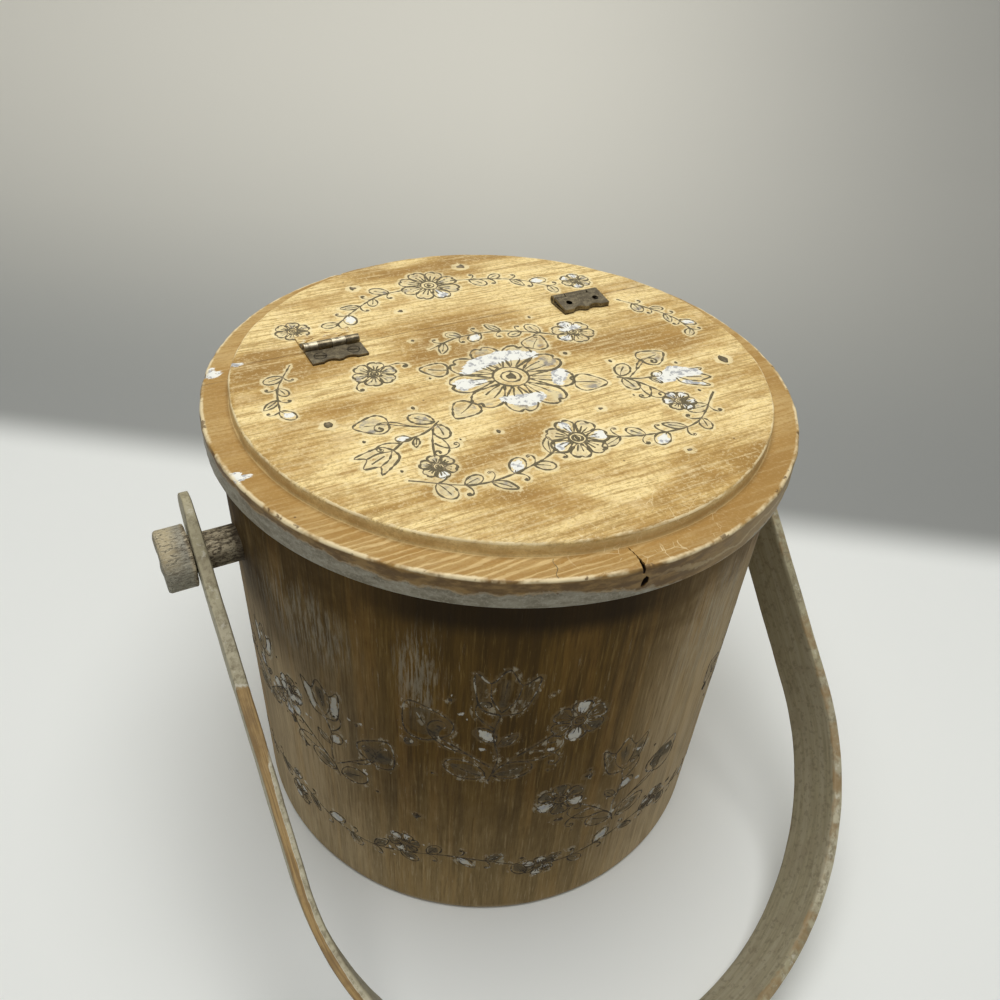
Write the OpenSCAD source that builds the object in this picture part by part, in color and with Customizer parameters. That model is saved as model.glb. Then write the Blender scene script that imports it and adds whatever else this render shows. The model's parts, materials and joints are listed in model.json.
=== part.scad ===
// Lidded wooden firkin: a straight staved bucket with a flat bottom,
// a two-part board lid whose front flap lifts on two small butt hinges,
// and a bent strip handle that swings on two wooden pegs.
// Origin at the centre of the base, Z up, X along the pegs, the flap towards -Y.

/* [Body] */
// outside diameter of the staved wall
body_dia = 244.8; // [230:0.2:247]
// height of the wall, from the base to the underside of the lid
body_height = 219.6; // [190:0.2:240]
// thickness of the staves
stave_thickness = 12.4; // [9:0.1:15]
// thickness of the bottom board
bottom_thickness = 14; // [10:0.5:20]
// how far the bottom board is let into the foot of the wall
bottom_seat = 6; // [3:0.5:7]
// bevel worn round the outside of the foot
foot_bevel = 1.6; // [0.5:0.1:3]

/* [Lid] */
// diameter of the lid, over its flange
lid_dia = 254; // [252:0.5:262]
// full thickness of the lid board, at the raised panel
lid_thickness = 19.1; // [15:0.1:24]
// diameter of the raised panel
panel_dia = 230; // [224:0.5:234]
// height of the panel above the flange
panel_rise = 5.9; // [3:0.1:8]
// rounding of the panel's upper edge
panel_round = 1.2; // [0.5:0.1:2.8]
// rounding of the flange's edges
flange_round = 1.4; // [0.5:0.1:2.5]
// distance from the centre to the seam between the rear segment and the flap
seam_y = 42; // [35:0.5:50]
// width of the saw cut along the seam
seam_gap = 0.3; // [0.2:0.1:1.6]
// clearance between the flap's underside and the top of the wall
flap_clearance = 0.25; // [0.1:0.05:0.5]
// direction of the open split in the flap's rim, seen from above
split_angle = -96.8; // [-110:0.2:-80]
// width of the split at the rim
split_width = 1.5; // [0.6:0.1:3]

/* [Pegs] */
// distance of the peg axis below the lid
peg_drop = 37.9; // [30:0.1:55]
// diameter of the peg's shank
shank_dia = 16.3; // [14:0.1:18]
// diameter of the peg's knob
knob_dia = 27; // [22:0.5:32]
// thickness of the knob
knob_length = 10.5; // [8:0.5:16]
// clearance between the strip's outer face and the knob's inner face, where they come closest
knob_clearance = 0.5; // [0.3:0.1:6]
// bevel round the knob's edges
knob_bevel = 1.4; // [0.5:0.1:3]

/* [Handle] */
// width of the bent strip
strip_width = 29; // [22:0.5:30]
// thickness of the bent strip
strip_thickness = 5.2; // [3.5:0.1:5.2]
// radius of the loop, to the middle of the strip
loop_radius = 131; // [130:0.5:131]
// distance from the peg axis to the centre of the loop's half circle
loop_centre = 135.5; // [125:0.5:150]
// how far each arm spreads from parallel towards the pegs, in degrees
arm_spread = 3.06; // [2.5:0.02:3.1]
// how far the worn loop leans towards the left peg, in degrees
loop_lean = 3.17; // [0:0.01:3.2]
// length of the strip past the peg axis
end_length = 22; // [18:0.5:26]
// clearance between the peg and the strip's hole, on the radius
strip_clearance = 0.08; // [0.05:0.01:0.1]

/* [Hinges] */
// length of each hinge along its barrel
hinge_length = 25; // [20:0.1:30]
// depth of each leaf from the barrel's axis
leaf_depth = 12.4; // [10:0.1:14]
// thickness of the leaf metal
leaf_thickness = 1.2; // [0.8:0.1:1.4]
// outside diameter of the rolled barrel
barrel_dia = 3.8; // [3.4:0.1:4]
// diameter of the hinge pin
pin_dia = 2; // [1.6:0.1:2.2]
// running clearance between the pin and a turning knuckle, on the radius
pin_clearance = 0.06; // [0.03:0.01:0.09]
// gap between neighbouring knuckles
knuckle_gap = 0.2; // [0.1:0.05:0.4]
// centre of the left hinge along the seam
left_hinge_x = -62.8; // [-75:0.1:-50]
// centre of the right hinge along the seam
right_hinge_x = 61.8; // [50:0.1:78]
// tilt of the right hinge's loose leaf, resting on the leaf below it
loose_leaf_tilt = 9; // [5:0.1:9.1]

/* [Screws] */
// distance of each screw from the middle of its hinge
screw_spacing = 7.5; // [6:0.1:8.5]
// distance of the screws from the barrel's axis
screw_reach = 7.2; // [6:0.1:8]
// diameter of the countersunk head
head_dia = 5.2; // [4.6:0.1:5.4]
// depth of the countersink
head_depth = 0.95; // [0.6:0.05:1.1]
// diameter of the plain hole under the countersink
screw_hole_dia = 3.2; // [3:0.1:3.6]
// diameter of the screw's shank
screw_dia = 2.6; // [2.2:0.1:2.9]
// length of the screw under its head
screw_length = 11; // [8:0.5:13]
// turn of the slots in the left hinge's rear leaf, in degrees
left_rear_slots = 25; // [-90:5:90]
// turn of the slots in the left hinge's front leaf, in degrees
left_front_slots = -20; // [-90:5:90]
// turn of the slots in the right hinge, in degrees
right_slots = 40; // [-90:5:90]

/* [Hidden] */
$fn = 96;
overrun = 1;
outer_r = body_dia / 2;
inner_r = outer_r - stave_thickness;
bottom_r = inner_r + bottom_seat;
stave_count = 12;
stave_angle = 360 / stave_count;
left_stave = 7;
lid_r = lid_dia / 2;
panel_r = panel_dia / 2;
lid_top = body_height + lid_thickness;
flange_top = lid_top - panel_rise;
split_start = 1;
peg_height = body_height - peg_drop;
shank_r = shank_dia / 2;
knob_r = knob_dia / 2;
peg_stub = 1;
shank_inner = inner_r - peg_stub;
strip_end_r = strip_width / 2;
loop_reach = loop_centre * cos(loop_lean) + loop_radius + strip_thickness / 2;
loop_tilt = asin(peg_height / norm([loop_reach, strip_end_r])) - atan(strip_end_r / loop_reach);
peg_offset = (loop_radius + loop_centre * sin(arm_spread)) / cos(arm_spread) * sin(loop_lean);
knob_edge = peg_offset + knob_r;
arm_flare = (loop_centre + knob_edge) * sin(arm_spread);
strip_face = (loop_radius + strip_thickness / 2 + arm_flare) / cos(arm_spread);
knob_inner = strip_face * cos(loop_lean) + knob_edge * sin(loop_lean) + knob_clearance;
barrel_r = barrel_dia / 2;
barrel_lift = 0.3;
axis_lift = barrel_r + barrel_lift;
hinge_z = lid_top + axis_lift;
knuckle_count = 4;
knuckle_pitch = hinge_length / knuckle_count;
knuckle_play = 0.3;
knuckle_room = axis_lift + knuckle_play;
knuckle_root = 0.5;
pin_inset = 0.5;
corner_r = 2.2;
scallop_r = 4.6;
scallop_x = 4.3;
scallop_bite = 1.4;
slot_width = 0.8;
slot_depth = 0.6;
tip_length = 3;
tip_r = 0.3;
far = 200;

// quarter-round waste at the corner of a square edge, filling the corner towards +X and +Y
module corner_waste(r) {
    difference() {
        translate([-r, -r]) square([r + overrun, r + overrun]);
        translate([-r, -r]) circle(r = r);
        translate([-far, -far]) square([far, 2 * far]);
        translate([-far, -far]) square([2 * far, far]);
    }
}

// section of one stave: straight wall, a seat for the bottom board, a worn foot
module stave_section() {
    polygon([[bottom_r, 0], [outer_r - foot_bevel, 0], [outer_r, foot_bevel],
        [outer_r, body_height], [inner_r, body_height],
        [inner_r, bottom_thickness], [bottom_r, bottom_thickness]]);
}

module stave(index) {
    turn = (index - 1) * stave_angle;
    color([0.36, 0.29, 0.21])
    difference() {
        rotate([0, 0, turn - stave_angle / 2])
        rotate_extrude(angle = stave_angle) stave_section();
        if (index == 1 || index == left_stave)
            rotate([0, 0, turn])
            translate([inner_r - peg_stub, 0, peg_height])
            rotate([0, 90, 0])
            cylinder(h = stave_thickness + 2 * peg_stub, r = shank_r);
    }
}

module bottom_board() {
    color([0.45, 0.36, 0.25])
    cylinder(h = bottom_thickness, r = bottom_r);
}

// half section of the lid above its underside: flange, step and raised panel with eased edges
module lid_section(underside) {
    difference() {
        union() {
            translate([0, underside]) square([lid_r, flange_top - underside]);
            translate([0, underside]) square([panel_r, lid_top - underside]);
        }
        translate([panel_r, lid_top]) corner_waste(panel_round);
        translate([lid_r, flange_top]) corner_waste(flange_round);
        translate([lid_r, underside]) mirror([0, 1]) corner_waste(flange_round);
    }
}

module whole_lid(underside) {
    rotate_extrude() lid_section(underside);
}

// the open split in the flap's rim: a wedge that closes at the panel's edge
module rim_split() {
    rotate([0, 0, split_angle])
    translate([0, 0, body_height - overrun])
    linear_extrude(height = lid_thickness + 2 * overrun)
    polygon([[panel_r - split_start, 0], [lid_r + overrun, -split_width / 2],
        [lid_r + overrun, split_width / 2]]);
}

module lid_back() {
    color([0.70, 0.52, 0.27])
    difference() {
        whole_lid(body_height);
        translate([-far, seam_y + seam_gap / 2 - 2 * far, 0]) cube([2 * far, 2 * far, 2 * far]);
        at_left_hinge() rotate([0, 0, 180]) screw_shanks();
        at_right_hinge() rotate([0, 0, 180]) screw_shanks();
    }
}

module lid_flap() {
    color([0.72, 0.54, 0.28])
    difference() {
        whole_lid(body_height + flap_clearance);
        translate([-far, seam_y - seam_gap / 2, 0]) cube([2 * far, 2 * far, 2 * far]);
        rim_split();
        at_left_hinge() screw_shanks();
        at_right_hinge() screw_shanks();
    }
}

// section of a peg: shank through the wall and the strip, bevelled knob outside
module peg_section() {
    knob_outer = knob_inner + knob_length;
    polygon([[0, shank_inner], [shank_r, shank_inner], [shank_r, knob_inner],
        [knob_r - knob_bevel, knob_inner], [knob_r, knob_inner + knob_bevel],
        [knob_r, knob_outer - knob_bevel], [knob_r - knob_bevel, knob_outer], [0, knob_outer]]);
}

module peg(side) {
    color([0.47, 0.42, 0.35])
    translate([0, 0, peg_height])
    rotate([0, 90 * side, 0])
    rotate_extrude() peg_section();
}

// area inside one face of the bent strip: arms that spread to the pegs, and a half circle
module loop_area(r) {
    arm_foot = -2 * strip_width;
    arm_x = (r - (arm_foot - loop_centre) * sin(arm_spread)) / cos(arm_spread);
    top_x = r * cos(arm_spread);
    top_y = loop_centre + r * sin(arm_spread);
    translate([0, loop_centre]) circle(r = r);
    polygon([[-arm_x, arm_foot], [arm_x, arm_foot], [top_x, top_y], [-top_x, top_y]]);
}

// keeps one arm up to its rounded end
module arm_mask(side) {
    end_y = strip_end_r - end_length - side * peg_offset;
    translate([side > 0 ? 0 : -far, end_y, 0])
    rotate([90, 0, 90])
    linear_extrude(height = far)
    union() {
        circle(r = strip_end_r);
        translate([0, -strip_end_r]) square([2 * far, strip_width]);
    }
}

module handle() {
    color([0.60, 0.55, 0.47])
    translate([0, 0, peg_height])
    rotate([180 + loop_tilt, 0, 0])
    difference() {
        rotate([0, 0, loop_lean])
        intersection() {
            linear_extrude(height = strip_width, center = true)
            difference() {
                loop_area(loop_radius + strip_thickness / 2);
                loop_area(loop_radius - strip_thickness / 2);
            }
            union() {
                arm_mask(1);
                arm_mask(-1);
            }
        }
        rotate([0, 90, 0])
        cylinder(h = 2 * far, r = shank_r + strip_clearance, center = true);
    }
}

module at_left_hinge() {
    translate([left_hinge_x, seam_y, hinge_z]) children();
}

module at_right_hinge() {
    translate([right_hinge_x, seam_y, hinge_z]) children();
}

// outline of one leaf in front of its barrel, with a bracket-shaped free edge
module leaf_outline() {
    difference() {
        translate([-hinge_length / 2, -leaf_depth]) square([hinge_length, leaf_depth - knuckle_room]);
        for (side = [-1, 1]) {
            translate([side * scallop_x, -leaf_depth - scallop_r + scallop_bite]) circle(r = scallop_r);
            translate([side * hinge_length / 2, -leaf_depth])
            rotate([0, 0, side > 0 ? -90 : 180]) corner_waste(corner_r);
        }
    }
}

// one leaf, its barrel's axis along X at the origin and its plate lying towards -Y;
// it carries the first and third knuckles, and turned round it meets its twin's
module hinge_leaf(bore_r) {
    difference() {
        union() {
            translate([0, 0, -axis_lift])
            linear_extrude(height = leaf_thickness) leaf_outline();
            for (slot = [0, 2])
                translate([-hinge_length / 2 + slot * knuckle_pitch + knuckle_gap / 2, 0, 0]) {
                    rotate([0, 90, 0]) cylinder(h = knuckle_pitch - knuckle_gap, r = barrel_r);
                    translate([0, -knuckle_room - knuckle_root, -axis_lift])
                    cube([knuckle_pitch - knuckle_gap, knuckle_room + knuckle_root, leaf_thickness]);
                }
        }
        rotate([0, 90, 0]) cylinder(h = 2 * hinge_length, r = bore_r, center = true);
        at_screws() {
            cylinder(h = 2 * (leaf_thickness + overrun), r = screw_hole_dia / 2, center = true);
            translate([0, 0, -head_depth])
            cylinder(h = head_depth, r1 = screw_hole_dia / 2, r2 = head_dia / 2);
        }
    }
}

// both screw places of a leaf, at the upper face of its plate
module at_screws() {
    for (side = [-1, 1])
        translate([side * screw_spacing, -screw_reach, leaf_thickness - axis_lift]) children();
}

module screw_shank() {
    shank = screw_length - tip_length;
    translate([0, 0, -head_depth - shank]) cylinder(h = shank, r = screw_dia / 2);
    translate([0, 0, -head_depth - screw_length])
    cylinder(h = tip_length, r1 = tip_r, r2 = screw_dia / 2);
}

module screw_shanks() {
    at_screws() screw_shank();
}

// the two slotted screws of one leaf
module screws(slot_turn) {
    color([0.34, 0.28, 0.19])
    at_screws()
    difference() {
        union() {
            translate([0, 0, -head_depth])
            cylinder(h = head_depth, r1 = screw_hole_dia / 2, r2 = head_dia / 2);
            screw_shank();
        }
        rotate([0, 0, slot_turn])
        translate([-head_dia, -slot_width / 2, -slot_depth])
        cube([2 * head_dia, slot_width, slot_depth + overrun]);
    }
}

module hinge_pin() {
    color([0.42, 0.35, 0.24])
    rotate([0, 90, 0])
    cylinder(h = hinge_length - 2 * pin_inset, r = pin_dia / 2, center = true);
}

module brass() {
    color([0.43, 0.36, 0.24]) children();
}

module left_hinge_rear_leaf() {
    brass() at_left_hinge() rotate([0, 0, 180]) hinge_leaf(pin_dia / 2);
}

module left_hinge_front_leaf() {
    brass() at_left_hinge() hinge_leaf(pin_dia / 2 + pin_clearance);
}

module left_hinge_pin() {
    at_left_hinge() hinge_pin();
}

module left_hinge_rear_screws() {
    at_left_hinge() rotate([0, 0, 180]) screws(left_rear_slots);
}

module left_hinge_front_screws() {
    at_left_hinge() screws(left_front_slots);
}

module right_hinge_lower_leaf() {
    brass() at_right_hinge() hinge_leaf(pin_dia / 2);
}

// the loose leaf, folded over onto the lower one with its plain back up
module right_hinge_upper_leaf() {
    brass()
    at_right_hinge()
    rotate([180 + loose_leaf_tilt, 0, 0])
    rotate([0, 0, 180])
    hinge_leaf(pin_dia / 2 + pin_clearance);
}

module right_hinge_pin() {
    at_right_hinge() hinge_pin();
}

module right_hinge_screws() {
    at_right_hinge() screws(right_slots);
}

stave(1);  // stave_01
stave(2);  // stave_02
stave(3);  // stave_03
stave(4);  // stave_04
stave(5);  // stave_05
stave(6);  // stave_06
stave(7);  // stave_07
stave(8);  // stave_08
stave(9);  // stave_09
stave(10);  // stave_10
stave(11);  // stave_11
stave(12);  // stave_12
bottom_board();
lid_back();
lid_flap();
peg(-1);  // peg_left
peg(1);  // peg_right
handle();
left_hinge_rear_leaf();
left_hinge_front_leaf();
left_hinge_pin();
left_hinge_rear_screws();
left_hinge_front_screws();
right_hinge_lower_leaf();
right_hinge_upper_leaf();
right_hinge_pin();
right_hinge_screws();
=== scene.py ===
import sys

import json
import math
import random

import bmesh
import bpy
import numpy as np
from bpy.props import FloatProperty, FloatVectorProperty, PointerProperty
from mathutils import Matrix, Vector, kdtree, noise
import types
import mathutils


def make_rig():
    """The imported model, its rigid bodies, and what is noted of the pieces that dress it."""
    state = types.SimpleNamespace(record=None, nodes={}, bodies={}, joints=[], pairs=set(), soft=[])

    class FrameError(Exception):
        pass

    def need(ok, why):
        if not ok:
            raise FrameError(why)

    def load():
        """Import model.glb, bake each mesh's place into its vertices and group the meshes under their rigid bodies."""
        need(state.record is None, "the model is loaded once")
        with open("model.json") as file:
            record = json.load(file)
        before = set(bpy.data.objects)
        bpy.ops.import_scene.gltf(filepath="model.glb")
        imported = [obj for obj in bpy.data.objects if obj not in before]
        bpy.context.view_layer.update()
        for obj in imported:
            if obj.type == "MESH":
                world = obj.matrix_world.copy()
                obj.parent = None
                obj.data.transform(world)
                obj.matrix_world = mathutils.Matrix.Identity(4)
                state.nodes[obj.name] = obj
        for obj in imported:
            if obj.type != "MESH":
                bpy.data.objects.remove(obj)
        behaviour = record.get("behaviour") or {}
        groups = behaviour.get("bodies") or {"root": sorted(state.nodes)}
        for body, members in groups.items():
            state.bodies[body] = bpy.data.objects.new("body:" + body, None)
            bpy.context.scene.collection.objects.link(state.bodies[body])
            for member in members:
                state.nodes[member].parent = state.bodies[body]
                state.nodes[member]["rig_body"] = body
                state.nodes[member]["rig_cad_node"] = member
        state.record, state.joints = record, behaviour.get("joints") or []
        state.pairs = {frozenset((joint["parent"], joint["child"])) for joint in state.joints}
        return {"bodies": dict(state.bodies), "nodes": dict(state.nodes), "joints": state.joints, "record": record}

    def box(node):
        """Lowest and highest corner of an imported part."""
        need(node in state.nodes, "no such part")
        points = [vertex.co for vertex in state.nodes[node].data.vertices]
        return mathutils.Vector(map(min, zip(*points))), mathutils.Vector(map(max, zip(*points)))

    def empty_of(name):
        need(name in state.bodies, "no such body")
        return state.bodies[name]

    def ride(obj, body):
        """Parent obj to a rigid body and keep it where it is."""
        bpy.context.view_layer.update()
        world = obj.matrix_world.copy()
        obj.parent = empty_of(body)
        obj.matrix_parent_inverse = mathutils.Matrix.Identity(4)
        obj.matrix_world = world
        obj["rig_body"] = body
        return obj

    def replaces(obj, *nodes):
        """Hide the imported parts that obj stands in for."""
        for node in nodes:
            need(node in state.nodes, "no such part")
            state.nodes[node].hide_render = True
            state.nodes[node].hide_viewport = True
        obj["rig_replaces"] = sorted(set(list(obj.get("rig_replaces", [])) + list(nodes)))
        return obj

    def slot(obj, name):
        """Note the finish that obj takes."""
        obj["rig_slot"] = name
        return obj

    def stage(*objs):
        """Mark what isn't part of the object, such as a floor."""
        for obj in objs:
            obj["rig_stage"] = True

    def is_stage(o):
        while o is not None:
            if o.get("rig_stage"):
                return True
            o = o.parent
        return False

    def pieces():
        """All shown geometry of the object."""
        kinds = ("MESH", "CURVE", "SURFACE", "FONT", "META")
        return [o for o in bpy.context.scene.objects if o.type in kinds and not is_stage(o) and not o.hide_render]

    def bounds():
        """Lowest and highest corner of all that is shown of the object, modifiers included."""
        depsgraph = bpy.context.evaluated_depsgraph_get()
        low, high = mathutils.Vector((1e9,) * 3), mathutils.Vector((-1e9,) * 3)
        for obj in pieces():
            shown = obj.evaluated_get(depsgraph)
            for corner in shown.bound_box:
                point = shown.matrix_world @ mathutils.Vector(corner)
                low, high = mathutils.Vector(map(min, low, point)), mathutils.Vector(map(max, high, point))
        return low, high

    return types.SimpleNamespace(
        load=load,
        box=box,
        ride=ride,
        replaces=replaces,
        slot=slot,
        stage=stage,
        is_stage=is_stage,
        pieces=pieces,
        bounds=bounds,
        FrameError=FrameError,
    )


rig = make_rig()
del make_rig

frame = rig.load()
CAD_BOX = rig.bounds()

bl_info = {
    "name": "Wooden Firkin",
    "version": (1, 0, 0),
    "blender": (4, 5, 0),
    "location": "View3D > Sidebar > Firkin",
    "description": "Dresses a lidded wooden firkin: painted staves, raised-panel lid, bent handle, hinges",
    "category": "Add Mesh",
}

MM = 0.001
PANEL_RADIUS, PANEL_RISE = 0.115, 0.0059
SHANK_RADIUS = 0.00815

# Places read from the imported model, in metres
FLAP_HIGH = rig.box("lid_flap")[1]
BACK_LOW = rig.box("lid_back")[0]
BOARD_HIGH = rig.box("bottom_board")[1]
LEFT_PEG_LOW, LEFT_PEG_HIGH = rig.box("peg_left")
LID_RADIUS = FLAP_HIGH.x
LID_TOP = FLAP_HIGH.z
FLANGE_TOP = LID_TOP - PANEL_RISE
WALL_TOP = BACK_LOW.z
WALL_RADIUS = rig.box("stave_04")[1].y
STAVE_COUNT = 12
BOTTOM_RADIUS = BOARD_HIGH.x
BOTTOM_THICKNESS = BOARD_HIGH.z
PEG_HEIGHT = (LEFT_PEG_LOW.z + LEFT_PEG_HIGH.z) / 2
KNOB_RADIUS = (LEFT_PEG_HIGH.z - LEFT_PEG_LOW.z) / 2
KNOB_OUTER = -LEFT_PEG_LOW.x
SHANK_INNER = -LEFT_PEG_HIGH.x
FLAP_EDGE = FLAP_HIGH.y
BACK_EDGE = BACK_LOW.y


def length(name, default, description):
    return FloatProperty(name=name, description=description, default=default, unit="LENGTH")


def angle(name, default, description):
    return FloatProperty(name=name, description=description, default=default, subtype="ANGLE")


def tint(name, default, description):
    return FloatVectorProperty(name=name, description=description, default=default, subtype="COLOR")


class FirkinShape(bpy.types.PropertyGroup):
    panel_radius: length("Panel radius", PANEL_RADIUS, "Radius of the lid's raised panel")
    panel_rise: length("Panel rise", PANEL_RISE, "Height of the raised panel above the flange")
    stave_thickness: length("Stave thickness", 0.0124, "Thickness of the wall's staves")
    wall_waviness: length("Wall waviness", 0.00025, "How far the wall strays from a true cylinder")
    lid_waviness: length("Lid waviness", 0.00025, "How far the lid's faces stray from flat")
    mesh_step: length("Mesh step", 0.0016, "Spacing of the mesh on the painted faces")


class FirkinHandle(bpy.types.PropertyGroup):
    strip_width: length("Strip width", 0.029, "Width of the bent strip")
    strip_thickness: length("Strip thickness", 0.0052, "Thickness of the bent strip")
    loop_radius: length("Loop radius", 0.131, "Radius of the half circle, to the middle of the strip")
    loop_centre: length("Loop centre", 0.1355, "Distance from the pegs to the half circle's centre")
    arm_spread: angle("Arm spread", math.radians(3.06), "How far each arm spreads towards the pegs")
    loop_lean: angle("Loop lean", math.radians(3.17), "How far the loop leans towards the left peg")
    end_length: length("End length", 0.0255, "Length of the strip past the peg's axis")
    flare: length("Flare", 0.0005, "How much wider the strip's upper edge runs than its middle")
    hole_radius: length("Hole radius", 0.00823, "Radius of the hole round each peg")
    shank_radius: length("Shank radius", SHANK_RADIUS, "Radius of the peg's shank")
    knob_inner: length("Knob inner", 0.1436, "Distance from the centre to the knob's inner face")


class FirkinColours(bpy.types.PropertyGroup):
    lid_light: tint("Lid light", (0.92, 0.72, 0.33), "Pale gold of the lid's rubbed wood")
    lid_amber: tint("Lid amber", (0.58, 0.375, 0.12), "Golden amber over most of the lid")
    lid_dark: tint("Lid dark", (0.36, 0.205, 0.052), "Brown amber of the lid's stained grain")
    wall_brown: tint("Wall brown", (0.130, 0.074, 0.015), "Brown stain of the wall")
    wall_dark: tint("Wall dark", (0.060, 0.033, 0.006), "Dark streaks of the wall's grain")
    wall_taupe: tint("Wall taupe", (0.23, 0.160, 0.068), "Rubbed tan low on the wall")
    primer: tint("Primer", (0.50, 0.475, 0.375), "Grey-white undercoat showing through")
    handle_paint: tint("Handle paint", (0.46, 0.42, 0.275), "Greige paint of the handle")
    handle_dark: tint("Handle dark", (0.33, 0.295, 0.185), "Darker brush marks in the handle's paint")
    ink: tint("Ink", (0.150, 0.124, 0.068), "Dark line of the decoration")
    chalk: tint("Chalk", (0.86, 0.86, 0.79), "White ground where the paint has flaked")
    brass: tint("Brass", (0.135, 0.110, 0.070), "Dark patina of the hinges")


class FirkinCamera(bpy.types.PropertyGroup):
    place: FloatVectorProperty(
        name="Place", description="Where the camera stands",
        default=(-0.16440, -0.28023, 0.42816), subtype="TRANSLATION", unit="LENGTH")
    aim: FloatVectorProperty(
        name="Aim", description="Direction in which the camera looks",
        default=(0.3976, 0.6651, -0.6321), subtype="DIRECTION")
    top: FloatVectorProperty(
        name="Top", description="Direction of the picture's upper edge",
        default=(0.2598, 0.5791, 0.7727), subtype="DIRECTION")
    lens: FloatProperty(
        name="Lens", description="Focal length in millimetres on a 36 mm sensor",
        default=30.93, min=10)


# Node building

def arithmetic(operation, turned=False):
    """A method that adds one math node, its operands the other way round if turned."""
    def method(self, other=0.0):
        pair = (other, self) if turned else (self, other)
        return self.nodes.math(operation, *pair)
    return method


class Value:
    """An output of a node. Arithmetic on it adds math nodes, and a | b is the larger of the two."""

    __add__, __radd__ = arithmetic("ADD"), arithmetic("ADD", True)
    __sub__, __rsub__ = arithmetic("SUBTRACT"), arithmetic("SUBTRACT", True)
    __mul__, __truediv__, __pow__ = arithmetic("MULTIPLY"), arithmetic("DIVIDE"), arithmetic("POWER")
    __or__ = arithmetic("MAXIMUM")
    __lt__, __gt__, __abs__ = arithmetic("LESS_THAN"), arithmetic("GREATER_THAN"), arithmetic("ABSOLUTE")

    def __init__(self, nodes, socket):
        self.nodes, self.socket = nodes, socket


class Made:
    """A node just added, whose outputs are found by name or number."""

    def __init__(self, nodes, node):
        self.nodes, self.node = nodes, node

    def __getitem__(self, key):
        return Value(self.nodes, self.node.outputs[key])


class Nodes:
    """Adds nodes to one tree and joins them."""

    def __init__(self, tree):
        self.tree = tree

    def join(self, value, socket):
        """Links a Value to the socket, or sets a plain value on it."""
        if isinstance(value, Value):
            self.tree.links.new(value.socket, socket)
        else:
            socket.default_value = value

    def add(self, kind, inputs=(), **settings):
        """A node of that kind, its settings made and its inputs set or linked."""
        node = self.tree.nodes.new(kind)
        for key, value in settings.items():
            setattr(node, key, value)
        for key, value in dict(inputs).items():
            self.join(value, node.inputs[key])
        return Made(self, node)

    def math(self, operation, a, b=0.0, clamp=False):
        return self.add("ShaderNodeMath", {0: a, 1: b}, operation=operation, use_clamp=clamp)[0]

    def vector(self, operation, a, b=(0, 0, 0)):
        return self.add("ShaderNodeVectorMath", {0: a, 1: b}, operation=operation)[0]

    def scaled(self, vector, factor):
        return self.add("ShaderNodeVectorMath", {0: vector, "Scale": factor}, operation="SCALE")[0]

    def point(self, x, y, z):
        return self.add("ShaderNodeCombineXYZ", {0: x, 1: y, 2: z})[0]

    def split(self, vector):
        parts = self.add("ShaderNodeSeparateXYZ", {0: vector})
        return parts[0], parts[1], parts[2]

    def mix(self, factor, a, b):
        """Colour a, or b where factor is 1."""
        a, b = (colour if isinstance(colour, Value) else (*colour, 1.0) for colour in (a, b))
        return self.add("ShaderNodeMix", {0: factor, 6: a, 7: b}, data_type="RGBA", clamp_factor=True)[2]

    def coats(self, colour, coats):
        """The colour under coats, each a factor and a colour."""
        for factor, coat in coats:
            colour = self.mix(factor, colour, coat)
        return colour

    def span(self, value, low, high):
        """0 at low and below, 1 at high and above, smooth between."""
        inputs = {"Value": value, "From Min": low, "From Max": high}
        return self.add("ShaderNodeMapRange", inputs, interpolation_type="SMOOTHSTEP")["Result"]

    def noise(self, scale, detail=3.0, roughness=0.55, distortion=0.0, grain=None, at=None):
        """Noise at a place, the object's own unless given, drawn out where the grain's factor is small."""
        place = at or (self.vector("MULTIPLY", self.place, grain) if grain else self.place)
        inputs = {"Vector": place, "Scale": scale, "Detail": detail, "Roughness": roughness,
                  "Distortion": distortion}
        return self.add("ShaderNodeTexNoise", inputs)["Fac"]


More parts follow.
